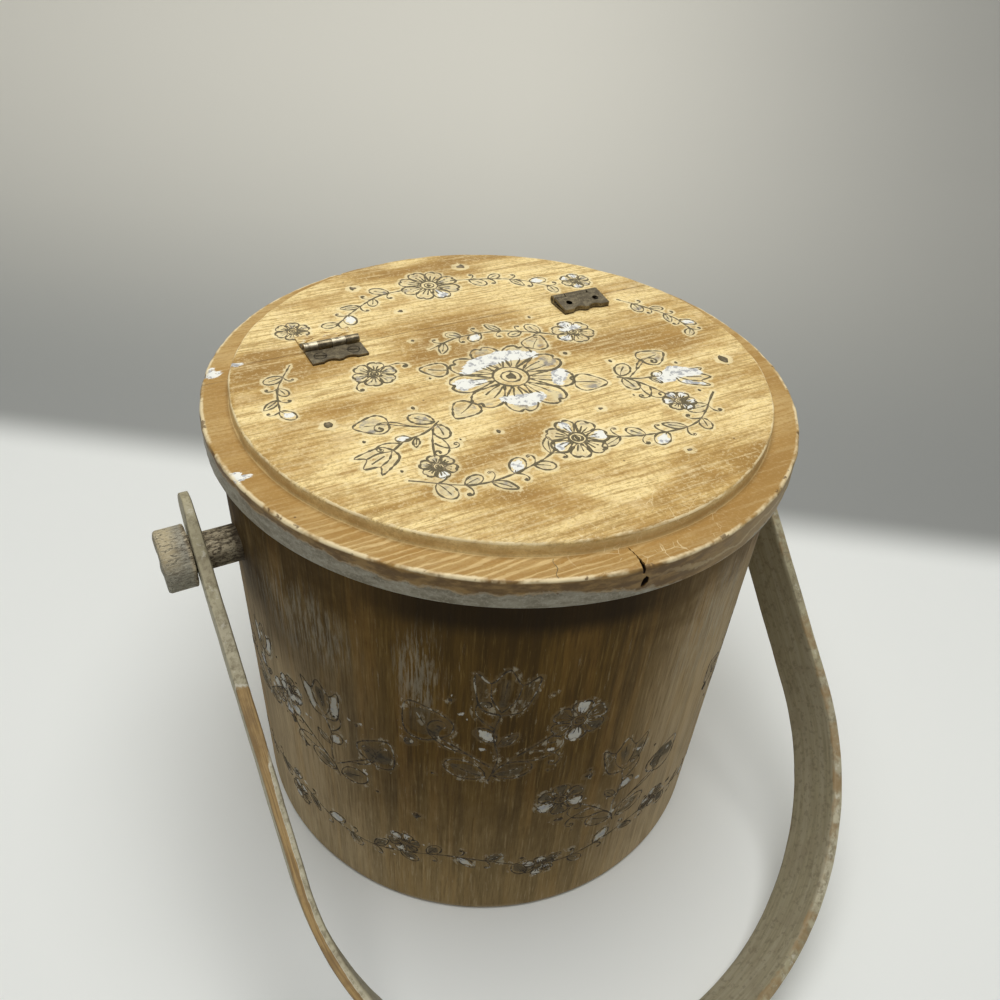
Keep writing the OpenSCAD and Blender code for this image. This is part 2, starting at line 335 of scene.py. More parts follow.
class Finish(Nodes):
    """One material under construction, with Object coordinates and a Principled shader."""

    def __init__(self, name):
        self.material = bpy.data.materials.new(name)
        self.material.use_nodes = True
        super().__init__(self.material.node_tree)
        self.tree.nodes.clear()
        self.place = self.add("ShaderNodeTexCoord")["Object"]
        self.shader = self.add("ShaderNodeBsdfPrincipled")
        self.add("ShaderNodeOutputMaterial", {0: self.shader[0]})

    def axes(self):
        return self.split(self.place)

    def radius(self):
        """Distance from the firkin's upright axis."""
        x, y, _ = self.axes()
        return self.math("SQRT", x * x + y * y)

    def attribute(self, name):
        return self.add("ShaderNodeAttribute", attribute_name=name)["Fac"]

    def warp(self, scale):
        """A vector that strays about zero from point to point."""
        cloud = self.add("ShaderNodeTexNoise", {"Vector": self.place, "Scale": scale, "Detail": 2.0})
        return self.vector("SUBTRACT", cloud["Color"], (0.5, 0.5, 0.5))

    def decorated(self, colour, mottle, grain, pale, strength, dark_tint, light_tint, ground):
        """Adds the decoration's halo, washes and chipped ground from the face's distances to the strokes.
        The chips tear along the grain, whose direction is the short factor in grain."""
        fine = (self.noise(480, 4, 0.7) - 0.5) * 4.0
        broad = (self.noise(300, 5, 0.75, grain=grain) - 0.5) * 7.0
        near = self.attribute("line") + fine
        halo = self.span(near, 1.35, 0.55) * strength
        colour = self.mix(halo * self.span(mottle, 0.3, 0.5), colour, pale)
        cloud = self.noise(250, 4, 0.65)
        tint = self.mix(self.span(cloud, 0.34, 0.56), dark_tint, light_tint)
        filled = 0.3 + self.span(self.noise(38, 2), 0.47, 0.55) * 0.6
        wash = self.span(self.attribute("wash") + fine * 0.5, 0.5, -0.3)
        colour = self.mix(wash * filled, colour, tint)
        smudge = self.mix(self.span(self.noise(300, 4, 0.7), 0.51, 0.6), ground, (0.42, 0.425, 0.43))
        flake = self.attribute("flake") + broad
        return self.mix(self.span(flake, 0.30, 0.05), colour, smudge)

    def done(self, colour, roughness, height=None, relief=0.0001, strength=0.6, **uniform):
        """Joins colour, roughness and bump to the shader. Uniform values go on its own sockets."""
        inputs = self.shader.node.inputs
        self.join(colour, inputs["Base Color"])
        self.join(roughness, inputs["Roughness"])
        if height is not None:
            bump = {"Strength": strength, "Distance": relief, "Height": height}
            self.join(self.add("ShaderNodeBump", bump)[0], inputs["Normal"])
        for socket, value in uniform.items():
            self.join(value, inputs[socket.replace("_", " ")])
        return self.material


# Materials

def lid_wood(colours):
    """Worn amber stain over a flat board, its grain along the seam."""
    f = Finish("lid wood")
    x, y, z = f.axes()
    radius = f.radius()
    hair = f.noise(1050, 4, 0.7, grain=(0.07, 1, 1))
    fine = f.noise(520, 5, 0.7, 0.2, grain=(0.05, 1, 1))
    grit = f.noise(760, 4, 0.7)
    streak = f.noise(120, 4, 0.6, 0.5, grain=(0.09, 1, 1))
    broad = f.noise(21, 3, 0.55, 0.8, grain=(0.5, 1, 1))
    mottle = f.noise(62, 5, 0.65)
    tone = streak * 0.24 + broad * 0.56
    tone += fine * 0.2
    colour = f.mix(f.span(tone, 0.4, 0.49), colours.lid_dark, colours.lid_amber)
    colour = f.coats(colour, (
        (f.span(tone, 0.455, 0.545), colours.lid_light),
        (f.span(hair, 0.5, 0.59) * 0.5, (0.32, 0.18, 0.042)),
        (f.span(fine, 0.51, 0.59) * 0.66, (0.35, 0.2, 0.047)),
        (f.span(fine, 0.48, 0.4) * 0.42, (0.94, 0.77, 0.41)),
        (f.span(grit, 0.52, 0.62) * 0.4, (0.3, 0.18, 0.05)),
        (f.span(grit, 0.47, 0.38) * 0.3, (0.96, 0.82, 0.5)),
        (f.span(mottle, 0.51, 0.66) * 0.38, (0.44, 0.25, 0.065)),
        (f.span(mottle, 0.42, 0.32) * 0.28, (0.9, 0.71, 0.38))))

    # the flange is darker, and rippled at its front left
    on_flange = f.span(radius, PANEL_RADIUS, PANEL_RADIUS + 0.0008)
    front = f.span(y, -0.03, -0.09) * f.span(x, 0.02, -0.05)
    waves = {"Vector": f.vector("MULTIPLY", f.place, (0.22, 1, 1)), "Scale": 100.0, "Distortion": 7.5,
             "Detail": 3.0, "Detail Scale": 1.6, "Detail Roughness": 0.6}
    ripple = f.add("ShaderNodeTexWave", waves, bands_direction="Y")["Fac"]
    rippled = on_flange * front * f.span(ripple, 0.3, 0.8)
    colour = f.coats(colour, (
        (on_flange * 0.7, (0.37, 0.21, 0.056)),
        (rippled * 0.38, (0.36, 0.2, 0.055))))
    crest = on_flange * front * f.span(ripple, 0.26, 0.08)
    colour = f.mix(crest * 0.34, colour, (0.9, 0.7, 0.35))

    # the panel's edge: rubbed pale on top, painted light lifting its face to a paler amber, and darkened at its foot
    ragged = (f.noise(330, 4, 0.7) - 0.5) * 0.0016
    edge_radius = radius + ragged
    rubbed = f.span(edge_radius, 0.1141, 0.1144) * f.span(radius, 0.11505, 0.1149)
    rubbed *= f.span(z, LID_TOP - 0.0012, LID_TOP - 0.0008)
    rubbed *= f.span(f.noise(75, 4, 0.65), 0.38, 0.56)
    # painted light: the step's face is lightened to a paler amber against the shade it stands in
    face = f.span(z, LID_TOP - 0.0005, LID_TOP - 0.0016) * f.span(radius, 0.1159, 0.1154)
    face *= f.span(radius, 0.113, 0.1142)
    colour = f.coats(colour, (
        (face * 0.55, (0.86, 0.65, 0.3)),
        (rubbed * 0.72, (0.9, 0.76, 0.46))))
    foot = f.span(radius, 0.1149, 0.1154) * f.span(edge_radius, 0.1172, 0.1156)
    foot *= f.span(z, FLANGE_TOP + 0.003, FLANGE_TOP + 0.0004)
    colour = f.mix(foot * 0.15, colour, (0.24, 0.14, 0.045))

    # crazed varnish at the front of the flap, to the right of the middle
    warped = f.vector("ADD", f.place, f.scaled(f.warp(90), 0.006))
    cells = f.add("ShaderNodeTexVoronoi", {"Vector": warped, "Scale": 165.0},
                  feature="DISTANCE_TO_EDGE")["Distance"]
    spot_x, spot_y = x + 0.004, y + 0.112
    away = f.math("SQRT", spot_x * spot_x * 0.3 + spot_y * spot_y)
    near = f.span(away + ragged * 9.0, 0.024, 0.008)
    gaps = f.span(f.noise(110, 2), 0.48, 0.56)
    crazed = f.span(cells, 0.026, 0.006) * near * gaps
    colour = f.mix(crazed * 0.5, colour, (0.94, 0.8, 0.48))

    colour = f.decorated(colour, mottle, (0.36, 1, 1), (0.92, 0.8, 0.47), 0.62, (0.27, 0.255, 0.24),
                         (0.74, 0.63, 0.36), colours.chalk)

    # the seam between the two boards, and painted shade inside the split
    from_seam = abs(y - FLAP_EDGE)
    seam = f.span(from_seam, 0.0009, 0.0002) * f.span(f.noise(48, 4, 0.65), 0.42, 0.58)
    colour = f.mix(seam * 0.55, colour, (0.26, 0.15, 0.05))
    at_split = f.span(z, FLANGE_TOP - 0.0004, FLANGE_TOP - 0.001) * f.span(y, -0.09, -0.1)
    inside = f.span(radius, LID_RADIUS - 0.0002, LID_RADIUS - 0.0006) * at_split
    inside *= f.span(z, WALL_TOP + 0.0015, WALL_TOP + 0.003)

    # the rim: pale along its upper edge, brown below, then bare undercoat with a ragged border
    side = f.span(radius, LID_RADIUS - 0.0009, LID_RADIUS - 0.0004)
    drift = f.noise(16, 2, 0.5) - 0.5
    tear = f.noise(95, 5, 0.65) - 0.5
    border = z + (drift * 0.015 + tear * 0.009)
    border += f.span(x, -0.045, 0.01) * 0.0068
    border -= f.span(x, -0.06, -0.11) * 0.003
    bare = side * f.span(border, WALL_TOP + 0.007, WALL_TOP + 0.0064)
    lip = side * (f.span(border, WALL_TOP + 0.0079, WALL_TOP + 0.0068) - bare)
    scratch = f.noise(130, 5, 0.65, grain=(1, 1, 3))
    primer = f.mix(f.span(scratch, 0.36, 0.66), (0.33, 0.3, 0.225), (0.19, 0.165, 0.11))
    speck = f.noise(900, 4, 0.65)
    primer = f.mix(f.span(speck, 0.48, 0.64) * 0.35, primer, (0.5, 0.47, 0.38))
    stain = f.mix(f.span(scratch, 0.38, 0.66), (0.145, 0.082, 0.026), (0.3, 0.185, 0.062))
    stain = f.mix(f.span(x, -0.01, 0.05) * 0.6, stain, (0.44, 0.31, 0.135))
    band = f.span(abs(border - (WALL_TOP + 0.0118)), 0.001, 0.0003) * f.span(x, -0.02, 0.02)
    stain = f.mix(band * 0.45, stain, (0.6, 0.48, 0.27))
    colour = f.coats(colour, (
        (side, stain),
        (lip * 0.45, (0.56, 0.49, 0.34)),
        (bare, primer)))
    top_edge = f.span(edge_radius, LID_RADIUS - 0.002, LID_RADIUS - 0.0011)
    top_edge *= f.span(z, FLANGE_TOP - 0.0012, FLANGE_TOP - 0.0005)
    pale_edge = top_edge * f.span(f.noise(60, 4, 0.65), 0.4, 0.56)
    colour = f.mix(pale_edge * 0.75, colour, (0.9, 0.77, 0.48))
    nicks = top_edge * f.span(f.noise(170, 3, 0.6), 0.6, 0.66)
    colour = f.mix(nicks * 0.8, colour, (0.13, 0.075, 0.028))

    # small dark specks, and bare wood underneath
    speckle = f.add("ShaderNodeTexVoronoi", {"Vector": f.place, "Scale": 118.0})
    chosen = f.add("ShaderNodeSeparateColor", {0: speckle["Color"]})[0] > 0.72
    fleck = f.span(speckle["Distance"], 0.07, 0.04) * chosen
    colour = f.mix(fleck * 0.75, colour, (0.12, 0.068, 0.026))
    under = f.span(z, WALL_TOP + 0.0011, WALL_TOP + 0.0007) * f.span(radius, 0.1262, 0.1252)
    colour = f.mix(under, colour, f.mix(f.span(fine, 0.4, 0.6), (0.46, 0.34, 0.19), (0.34, 0.23, 0.12)))
    roughness = 0.4 + mottle * 0.26
    # painted shade: the inside of the split is darkened nearly to black
    colour = f.mix(inside, colour, (0.022, 0.012, 0.006))
    relief = hair * 0.35 + streak * 0.5
    relief -= rippled * 0.4
    relief -= f.span(f.attribute("line"), 1.0, 0.0) * 0.5
    return f.done(colour, roughness, relief, 0.00022, 0.55, Specular_IOR_Level=0.28)


def wall_wood(colours):
    """Brown combed stain over upright staves, streaked with undercoat, paler towards the foot."""
    f = Finish("wall wood")
    x, y, z = f.axes()
    radius = f.radius()
    upright = f.vector("MULTIPLY", f.place, (1, 1, 0.05))
    hair = f.noise(950, 4, 0.7, grain=(1, 1, 0.055))
    fine = f.noise(620, 4, 0.65, at=upright)
    streak = f.noise(200, 4, 0.65, 0.3, at=upright)
    band = f.noise(34, 4, 0.6, grain=(1, 1, 0.22))
    mottle = f.noise(70, 5, 0.65)
    wobble = (mottle - 0.5) * 0.07
    tone = streak * 0.4 + band * 0.34
    tone += fine * 0.26
    brown = f.mix(f.span(tone, 0.38, 0.6), colours.wall_dark, colours.wall_brown)
    brown = f.mix(f.span(x, -0.02, 0.045) * 0.62, brown, (0.26, 0.15, 0.04))
    height = z + wobble
    left = f.span(x * -1.0 - y * 0.25, 0.102, 0.138)
    right = f.span(x, -0.025, 0.042)
    dull = f.mix(f.span(tone, 0.38, 0.6), colours.wall_taupe, (0.345, 0.245, 0.11))
    tan = f.mix(left | right, dull, f.mix(f.span(tone, 0.38, 0.6), (0.4, 0.305, 0.17), (0.58, 0.455, 0.28)))
    low = f.span(height, 0.145, -0.005) | left * f.span(height, 0.225, 0.12)
    low |= right * f.span(height, 0.26, 0.13)
    colour = f.mix(low * 0.95, brown, tan)

    # amber and ochre run with the grain; hair lines of dark stain and of pale undercoat break it up
    ochre = f.span(f.noise(120, 3, 0.6, at=upright), 0.5, 0.66) * 0.36
    colour = f.mix(ochre, colour, f.mix(low, (0.27, 0.145, 0.035), (0.42, 0.27, 0.1)))
    stroke = 0.5 - low * 0.22
    colour = f.mix(f.span(hair, 0.5, 0.66) * stroke, colour, (0.058, 0.031, 0.009))
    lifted = f.mix(low, (0.31, 0.2, 0.065), (0.58, 0.47, 0.29))
    colour = f.mix(f.span(hair, 0.46, 0.33) * 0.36, colour, lifted)

    # grey-white undercoat shows through in a few combed patches
    turn = f.math("ARCTAN2", y, x)
    patches = None
    for centre, spread, level, reach in ((-2.30, 0.085, 0.176, 0.028), (-2.76, 0.26, 0.176, 0.024),
                                         (-1.22, 0.22, 0.172, 0.040), (-0.86, 0.24, 0.140, 0.075),
                                         (0.75, 0.25, 0.150, 0.060), (2.05, 0.20, 0.140, 0.060)):
        off = (turn - centre) / spread
        rise = (z - level) / reach
        away = off * off + rise * rise
        patch = f.span(away, 1.5, 0.1)
        patches = patch if patches is None else patches | patch
    combed = f.noise(760, 5, 0.75, grain=(1, 1, 0.08))
    bare = patches * f.span(combed + patches * 0.06, 0.51, 0.64)
    colour = f.mix(bare * 0.32, colour, colours.primer)
    stray = f.span(combed, 0.62, 0.7) * 0.3
    colour = f.mix(stray, colour, (0.46, 0.4, 0.28))

    # scraped flecks follow the drawn lines
    scraped = f.noise(210, 5, 0.75, grain=(1, 1, 0.5))
    by_line = f.span(f.attribute("line"), 2.4, 0.9)
    fleck = by_line * f.span(scraped, 0.565, 0.605)
    colour = f.mix(fleck * 0.58, colour, (0.5, 0.46, 0.35))
    colour = f.decorated(colour, mottle, (1, 1, 0.36), (0.3, 0.23, 0.13), 0.2, (0.048, 0.042, 0.033),
                         (0.115, 0.09, 0.052), (0.56, 0.54, 0.47))

    # painted shade darkens the wall under the lid, and a darker painted shadow band lies beneath it in the middle; the
    # foot is scuffed; the inside and the ends are bare
    under_lid = f.span(height, 0.18, 0.216) * 0.5
    colour = f.mix(under_lid, colour, (0.062, 0.034, 0.008))
    # painted shadow of the lid's overhang, darkest in the middle
    soot = f.span(z, 0.198, 0.208) * (f.span(x, 0.016, -0.018) * f.span(x, -0.102, -0.08))
    colour = f.mix(soot * 0.8, colour, (0.018, 0.01, 0.003))
    edge = f.span(z, 0.005, 0.0014) * f.span(mottle, 0.34, 0.52)
    colour = f.mix(edge * 0.7, colour, (0.42, 0.33, 0.21))
    bare_wood = f.mix(f.span(streak, 0.38, 0.62), (0.33, 0.235, 0.13), (0.5, 0.38, 0.23))
    inside = f.span(radius, WALL_RADIUS - 0.0022, WALL_RADIUS - 0.0027)
    inside |= f.span(z, WALL_TOP - 0.0006, WALL_TOP - 0.0002)
    colour = f.mix(inside, colour, bare_wood)
    roughness = 0.6 + streak * 0.2
    relief = hair * 0.6 + streak * 0.6
    relief -= f.span(f.attribute("line"), 1.0, 0.0) * 0.8
    return f.done(colour, roughness, relief, 0.00030, 0.6, Specular_IOR_Level=0.10)


def bare_board(colours):
    """Plain unpainted board with fine grain along X, for the bottom."""
    f = Finish("bare board")
    grain = f.noise(320, 4, 0.6, grain=(0.05, 1, 1))
    rings = f.noise(60, 3, 0.6, 0.8, grain=(0.12, 1, 1))
    colour = f.mix(f.span(rings, 0.38, 0.62), (0.28, 0.19, 0.1), (0.44, 0.33, 0.19))
    colour = f.mix(f.span(grain, 0.5, 0.68) * 0.5, colour, (0.15, 0.095, 0.05))
    stain = f.span(f.noise(14, 3, 0.6), 0.45, 0.62)
    colour = f.mix(stain * 0.4, colour, (0.17, 0.125, 0.08))
    return f.done(colour, 0.78, grain, 0.0003, 0.5)


def handle_finish(colours):
    """Greige brushed paint on a bent strip, worn to amber wood along its edges."""
    f = Finish("handle paint")
    along, across = f.attribute("along"), f.attribute("across")
    laid = f.point(along * 0.06, across, 0.0)
    brushed = f.noise(800, 4, 0.65, at=laid)
    broad = f.noise(170, 3, 0.6, at=laid)
    mottle = f.noise(75, 5, 0.65)
    pocks = f.noise(340, 4, 0.65)
    colour = f.mix(f.span(brushed, 0.36, 0.66), colours.handle_paint, colours.handle_dark)
    colour = f.coats(colour, (
        (f.span(broad, 0.44, 0.62) * 0.45, (0.62, 0.57, 0.43)),
        (f.span(mottle, 0.5, 0.68) * 0.5, (0.35, 0.3, 0.2)),
        (f.span(pocks, 0.51, 0.64) * 0.62, (0.19, 0.16, 0.098))))
    # painted shade darkens the strip's inner face
    inner = f.span(f.attribute("inward"), 0.0016, 0.0023)
    colour = f.mix(inner * 0.5, colour, (0.2, 0.175, 0.115))
    rim = f.span(abs(f.attribute("inward")), 0.0022, 0.0012)
    grime = f.span(f.noise(240, 5, 0.75), 0.47, 0.6)
    colour = f.mix(rim * grime * 0.55, colour, (0.22, 0.185, 0.11))
    dust = f.span(f.noise(300, 4, 0.7), 0.44, 0.34)
    colour = f.mix(rim * dust * 0.45, colour, (0.66, 0.63, 0.52))
    edge = f.attribute("edge")
    rub = f.span(edge + (mottle - 0.5) * 1.6, 0.72, 1.0) * f.span(f.noise(30, 4, 0.65), 0.46, 0.55)
    rub *= f.span(f.axes()[0], -0.05, 0.05)
    colour = f.mix(rub * 0.75, colour, (0.3, 0.2, 0.09))
    grain = f.noise(1100, 4, 0.7, at=f.point(along * 0.04, across, f.attribute("inward")))
    wood = f.mix(f.span(grain, 0.4, 0.62), (0.4, 0.26, 0.1), (0.23, 0.14, 0.05))
    wood = f.mix(f.span(mottle, 0.5, 0.64) * 0.6, wood, (0.22, 0.135, 0.055))
    worn = f.attribute("amber") + (f.noise(60, 5, 0.7) - 0.5) * 1.3
    colour = f.mix(f.span(worn, 0.46, 0.6) * 0.92, colour, wood)
    pale = f.span(worn, 0.34, 0.46) - f.span(worn, 0.46, 0.58)
    colour = f.mix(pale * 0.55, colour, (0.74, 0.7, 0.58))
    cells = f.add("ShaderNodeTexVoronoi", {"Vector": f.place, "Scale": 46.0})
    chosen = f.add("ShaderNodeSeparateColor", {0: cells["Color"]})[0] > 0.8
    hole = f.span(cells["Distance"], 0.046, 0.034) * chosen
    colour = f.mix(hole, colour, (0.03, 0.022, 0.015))
    relief = brushed * 0.6 + pocks * 0.7
    relief -= hole * 1.5
    return f.done(colour, 0.48 + mottle * 0.25, relief, 0.00028, 0.6, Specular_IOR_Level=0.3)


def weathered_wood(colours):
    """Grey-brown weathered pegs, their grain along X, with a golden rubbed patch."""
    f = Finish("weathered wood")
    x, y, z = f.axes()
    along = f.vector("MULTIPLY", f.place, (0.10, 1, 1))
    grain = f.noise(1000, 4, 0.7, at=along)
    fibre = f.noise(360, 5, 0.7, 0.5, at=along)
    broad = f.noise(70, 4, 0.6)
    knob = f.span(abs(x), 0.1425, 0.144)
    worm = f.noise(980, 5, 0.75, 0.4, grain=(0.4, 1, 1))
    shank = f.mix(f.span(fibre, 0.36, 0.58), (0.15, 0.12, 0.072), (0.58, 0.5, 0.34))
    pitted = f.noise(850, 3, 0.7, grain=(0.6, 1, 1))
    shank = f.mix(f.span(pitted, 0.5, 0.6) * 0.75, shank, (0.085, 0.062, 0.036))
    end = f.mix(f.span(worm, 0.42, 0.56), (0.2, 0.18, 0.135), (0.52, 0.49, 0.385))
    colour = f.mix(knob, shank, end)
    golden = knob * f.span(z, PEG_HEIGHT + 0.001, PEG_HEIGHT + 0.012)
    golden *= f.span(abs(x), 0.1445, 0.15)
    colour = f.mix(golden * 0.45, colour, (0.7, 0.57, 0.32))
    grimy = knob * f.span(z, PEG_HEIGHT - 0.005, PEG_HEIGHT - 0.0125)
    colour = f.coats(colour, (
        (grimy * 0.6, (0.145, 0.14, 0.1)),
        (f.span(broad, 0.52, 0.66) * 0.25, (0.4, 0.3, 0.16)),
        (f.span(worm, 0.54, 0.62) * 0.7, (0.075, 0.056, 0.036)),
        (f.span(grain, 0.54, 0.66) * 0.6, (0.06, 0.042, 0.024)),
        (f.span(grain, 0.42, 0.3) * 0.45, (0.7, 0.64, 0.48))))
    # painted shade where the shank goes into the wall
    at_wall = f.span(abs(x), WALL_RADIUS + 0.0042, WALL_RADIUS + 0.001) * 0.7
    colour = f.mix(at_wall, colour, (0.06, 0.04, 0.022))
    relief = grain * 0.5 + fibre * 0.7
    relief -= f.span(worm, 0.52, 0.64) * 0.6
    return f.done(colour, 0.72, relief, 0.0006, 0.9, Specular_IOR_Level=0.25)


def old_brass(colours):
    """Dark antique patina, with a painted highlight along the top of the left hinge's barrel."""
    f = Finish("old brass")
    x, y, z = f.axes()
    cloud = f.noise(420, 4, 0.65)
    fine = f.noise(1700, 3, 0.6)
    colour = f.mix(f.span(cloud, 0.4, 0.66), colours.brass, (0.27, 0.225, 0.14))
    colour = f.mix(f.span(fine, 0.5, 0.66) * 0.6, colour, (0.06, 0.046, 0.028))
    # painted shade on the brass that lies low, close to the lid
    sunk = f.span(z, LID_TOP + 0.0009, LID_TOP + 0.0004)
    colour = f.mix(sunk * 0.8, colour, (0.03, 0.022, 0.014))
    # painted highlight along the top of the left hinge's barrel
    high = f.span(z, LID_TOP + 0.0026, LID_TOP + 0.0038) * f.span(x, 0.01, -0.01)
    colour = f.mix(high * f.span(cloud, 0.3, 0.52), colour, (0.66, 0.59, 0.43))

    # a dark ring round each of the left hinge's front screws
    low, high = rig.box("left_hinge_front_screws")
    head = (high.y - low.y) / 2
    off_y = y - (low.y + head)
    ring = None
    for middle in (low.x + head, high.x - head):
        off_x = x - middle
        away = f.math("SQRT", off_x * off_x + off_y * off_y)
        band = f.span(abs(away - head), 0.00045, 0.00012)
        ring = band if ring is None else ring | band
    colour = f.mix(ring * 0.85, colour, (0.018, 0.013, 0.008))
    roughness = 0.32 + cloud * 0.28
    relief = cloud + fine * 0.5
    return f.done(colour, roughness, relief, 0.00008, 0.5, Metallic=0.60)


def painted_leaf(colours):
    """The left hinge's rear leaf, brushed over with the lid's stain but for its corner and the barrel."""
    f = Finish("painted leaf")
    x, y, z = f.axes()
    cloud = f.noise(420, 4, 0.65)
    brushed = f.noise(900, 4, 0.65, grain=(0.15, 1, 1))
    metal = f.mix(f.span(cloud, 0.4, 0.66), colours.brass, (0.27, 0.225, 0.14))
    paint = f.mix(f.span(brushed, 0.38, 0.62), colours.lid_light, colours.lid_dark)
    paint = f.mix(f.span(cloud, 0.52, 0.66) * 0.6, paint, (0.92, 0.83, 0.6))
    ragged = (f.noise(380, 4, 0.65) - 0.5) * 0.003
    from_barrel = f.span(y + ragged, 0.0446, 0.0452)
    from_corner = f.span(x + ragged, -0.0722, -0.0712) | f.span(y + ragged, 0.0478, 0.0486)
    cover = from_barrel * from_corner
    colour = f.mix(cover, metal, paint)
    return f.done(colour, 0.34 + cover * 0.2, cloud + cover, 0.00012, 0.5, Metallic=(1.0 - cover) * 0.8)


def ink_line(colours):
    """The decoration's dark line on the lid, thinned by wear."""
    f = Finish("ink line")
    worn = f.noise(420, 4, 0.65)
    colour = f.mix(f.span(worn, 0.46, 0.7), colours.ink, (0.3, 0.235, 0.15))
    return f.done(colour, 0.55, worn, 0.0001, 0.5, Specular_IOR_Level=0.25)


def wall_ink(colours):
    """Incised line on the wall, filled with dark stain and flecked with undercoat."""
    f = Finish("wall ink")
    worn = f.noise(460, 4, 0.65)
    fleck = f.noise(260, 4, 0.7, grain=(1, 1, 0.5))
    colour = f.mix(f.span(worn, 0.44, 0.62), (0.045, 0.034, 0.021), (0.13, 0.092, 0.048))
    colour = f.mix(f.span(fleck, 0.56, 0.61) * 0.75, colour, (0.5, 0.47, 0.38))
    return f.done(colour, 0.7, worn, 0.0001, 0.5, Specular_IOR_Level=0.15)


FINISHES = {}


def finish(name):
    """The named material, made on first use."""
    if name not in FINISHES:
        FINISHES[name] = globals()[name](bpy.context.scene.firkin_colours)
    return FINISHES[name]


# Strokes of the decoration, laid out in millimetres on a face's own plane

class Canvas:
    """Keeps, for each point of a face, its distance in millimetres from the strokes of each layer."""

    LAYERS = ("line", "wash", "flake")
    FAR = 6.0

    def __init__(self, u, v):
        self.u = np.asarray(u, float)
        self.v = np.asarray(v, float)
        self.gap = {layer: np.full(len(self.u), self.FAR) for layer in self.LAYERS}
        self.lines = []
        self.heft = 1.0

    def stroke(self, layer, points, width):
        """Lays a stroke along the points. The width is one number, or one for each point."""
        path = np.asarray(points, float)
        half = np.broadcast_to(np.asarray(width, float) / 2, (len(path),))
        if layer == "line":
            half = half * self.heft
            self.lines.append((path, half))
        low, high = path.min(0) - self.FAR - half.max(), path.max(0) + self.FAR + half.max()
        across = (self.u > low[0]) & (self.u < high[0])
        near = np.nonzero(across & (self.v > low[1]) & (self.v < high[1]))[0]
        if not len(near):
            return
        u, v = self.u[near], self.v[near]
        best = np.full(len(near), self.FAR)
        for (a, b, wa, wb) in zip(path[:-1], path[1:], half[:-1], half[1:]):
            run = b - a
            share = np.clip(((u - a[0]) * run[0] + (v - a[1]) * run[1]) / max(run @ run, 1e-9), 0, 1)
            off = np.hypot(u - a[0] - share * run[0], v - a[1] - share * run[1])
            best = np.minimum(best, off - wa - share * (wb - wa))
        self.gap[layer][near] = np.minimum(self.gap[layer][near], best)

    def kept_lines(self, paint):
        """The lines, narrowed to nothing where a flake has taken the paint away."""
        probe = Canvas(*np.concatenate([path for path, _ in self.lines]).T)
        paint(probe)
        shares = np.clip((probe.gap["flake"] + 1.3) / 1.0, 0, 1)
        kept, start = [], 0
        for path, half in self.lines:
            kept.append((path, half * shares[start:start + len(path)]))
            start += len(path)
        return kept

    def store(self, mesh, index, start=0):
        """Writes the layers to the mesh as attributes. Points off the face keep the far value."""
        for layer in self.LAYERS:
            values = np.full(len(mesh.vertices), self.FAR)
            values[index] = self.gap[layer][start:start + len(index)]
            mesh.attributes.new(layer, "FLOAT", "POINT").data.foreach_set("value", values)


def smooth(points, steps=6):
    """A smooth path through the points."""
    p = [np.asarray(q, float) for q in points]
    p = [2 * p[0] - p[1]] + p + [2 * p[-1] - p[-2]]
    path = []
    for a, b, c, d in zip(p[:-3], p[1:-2], p[2:-1], p[3:]):
        for i in range(steps):
            t = i / steps
            path.append(0.5 * (2 * b + (c - a) * t + (2 * a - 5 * b + 4 * c - d) * t * t
                               + (3 * b - a - 3 * c + d) * t ** 3))
    return path + [p[-2]]


def placed(shape, at, turn, size=1.0):
    """The shape's points, scaled, turned in degrees and moved."""
    c, s = math.cos(math.radians(turn)) * size, math.sin(math.radians(turn)) * size
    return [(at[0] + c * x - s * y, at[1] + s * x + c * y) for x, y in shape]


def spot(at, turn, x, y):
    return placed([(x, y)], at, turn)[0]


LEAF_SHAPE = [(0, 0), (2.0, 1.5), (5.2, 2.3), (8.2, 1.3), (10, 0), (8.0, -1.2), (5, -1.9), (2.1, -1.3),
              (0, 0)]
OVAL_SHAPE = [(0, 0), (1.6, 1.9), (5.0, 3.2), (8.6, 2.3), (10, 0), (8.6, -2.3), (5, -3.2), (1.6, -1.9),
              (0, 0)]
HEART_SHAPE = [(0, 0), (0.4, 3.0), (3.0, 5.0), (7.0, 3.6), (11, 0), (7.0, -3.6), (3.0, -5.0), (0.4, -3.0),
               (0, 0)]
PETAL_SHAPE = [(0, 0.6), (3.0, 2.3), (6.6, 3.8), (9.4, 2.9), (10.4, 1.1), (9.6, 0), (10.4, -1.1),
               (9.4, -2.9), (6.6, -3.8), (3.0, -2.3), (0, -0.6)]
TULIP_SHAPE = [(0, 0), (1.0, 3.0), (4.4, 4.4), (9.6, 5.0), (7.6, 2.4), (11.0, 0), (7.6, -2.4), (9.6, -5.0),
               (4.4, -4.4), (1.0, -3.0), (0, 0)]


def leaf(canvas, at, turn, length, ink, shape=LEAF_SHAPE, layer="wash"):
    """A leaf with its vein, washed or chipped inside."""
    size = length / 10
    canvas.stroke("line", placed(smooth(shape), at, turn, size), ink)
    canvas.stroke("line", placed(smooth([(0.3, 0), (4, 0.25), (7.6, 0)], 4), at, turn, size), ink * 0.7)
    body = max(y for x, y in shape)
    canvas.stroke(layer, placed([(1.8, 0), (5, 0.2), (8.0, 0)], at, turn, size),
                  [0.5 * body * size, 1.5 * body * size, 0.4 * body * size])


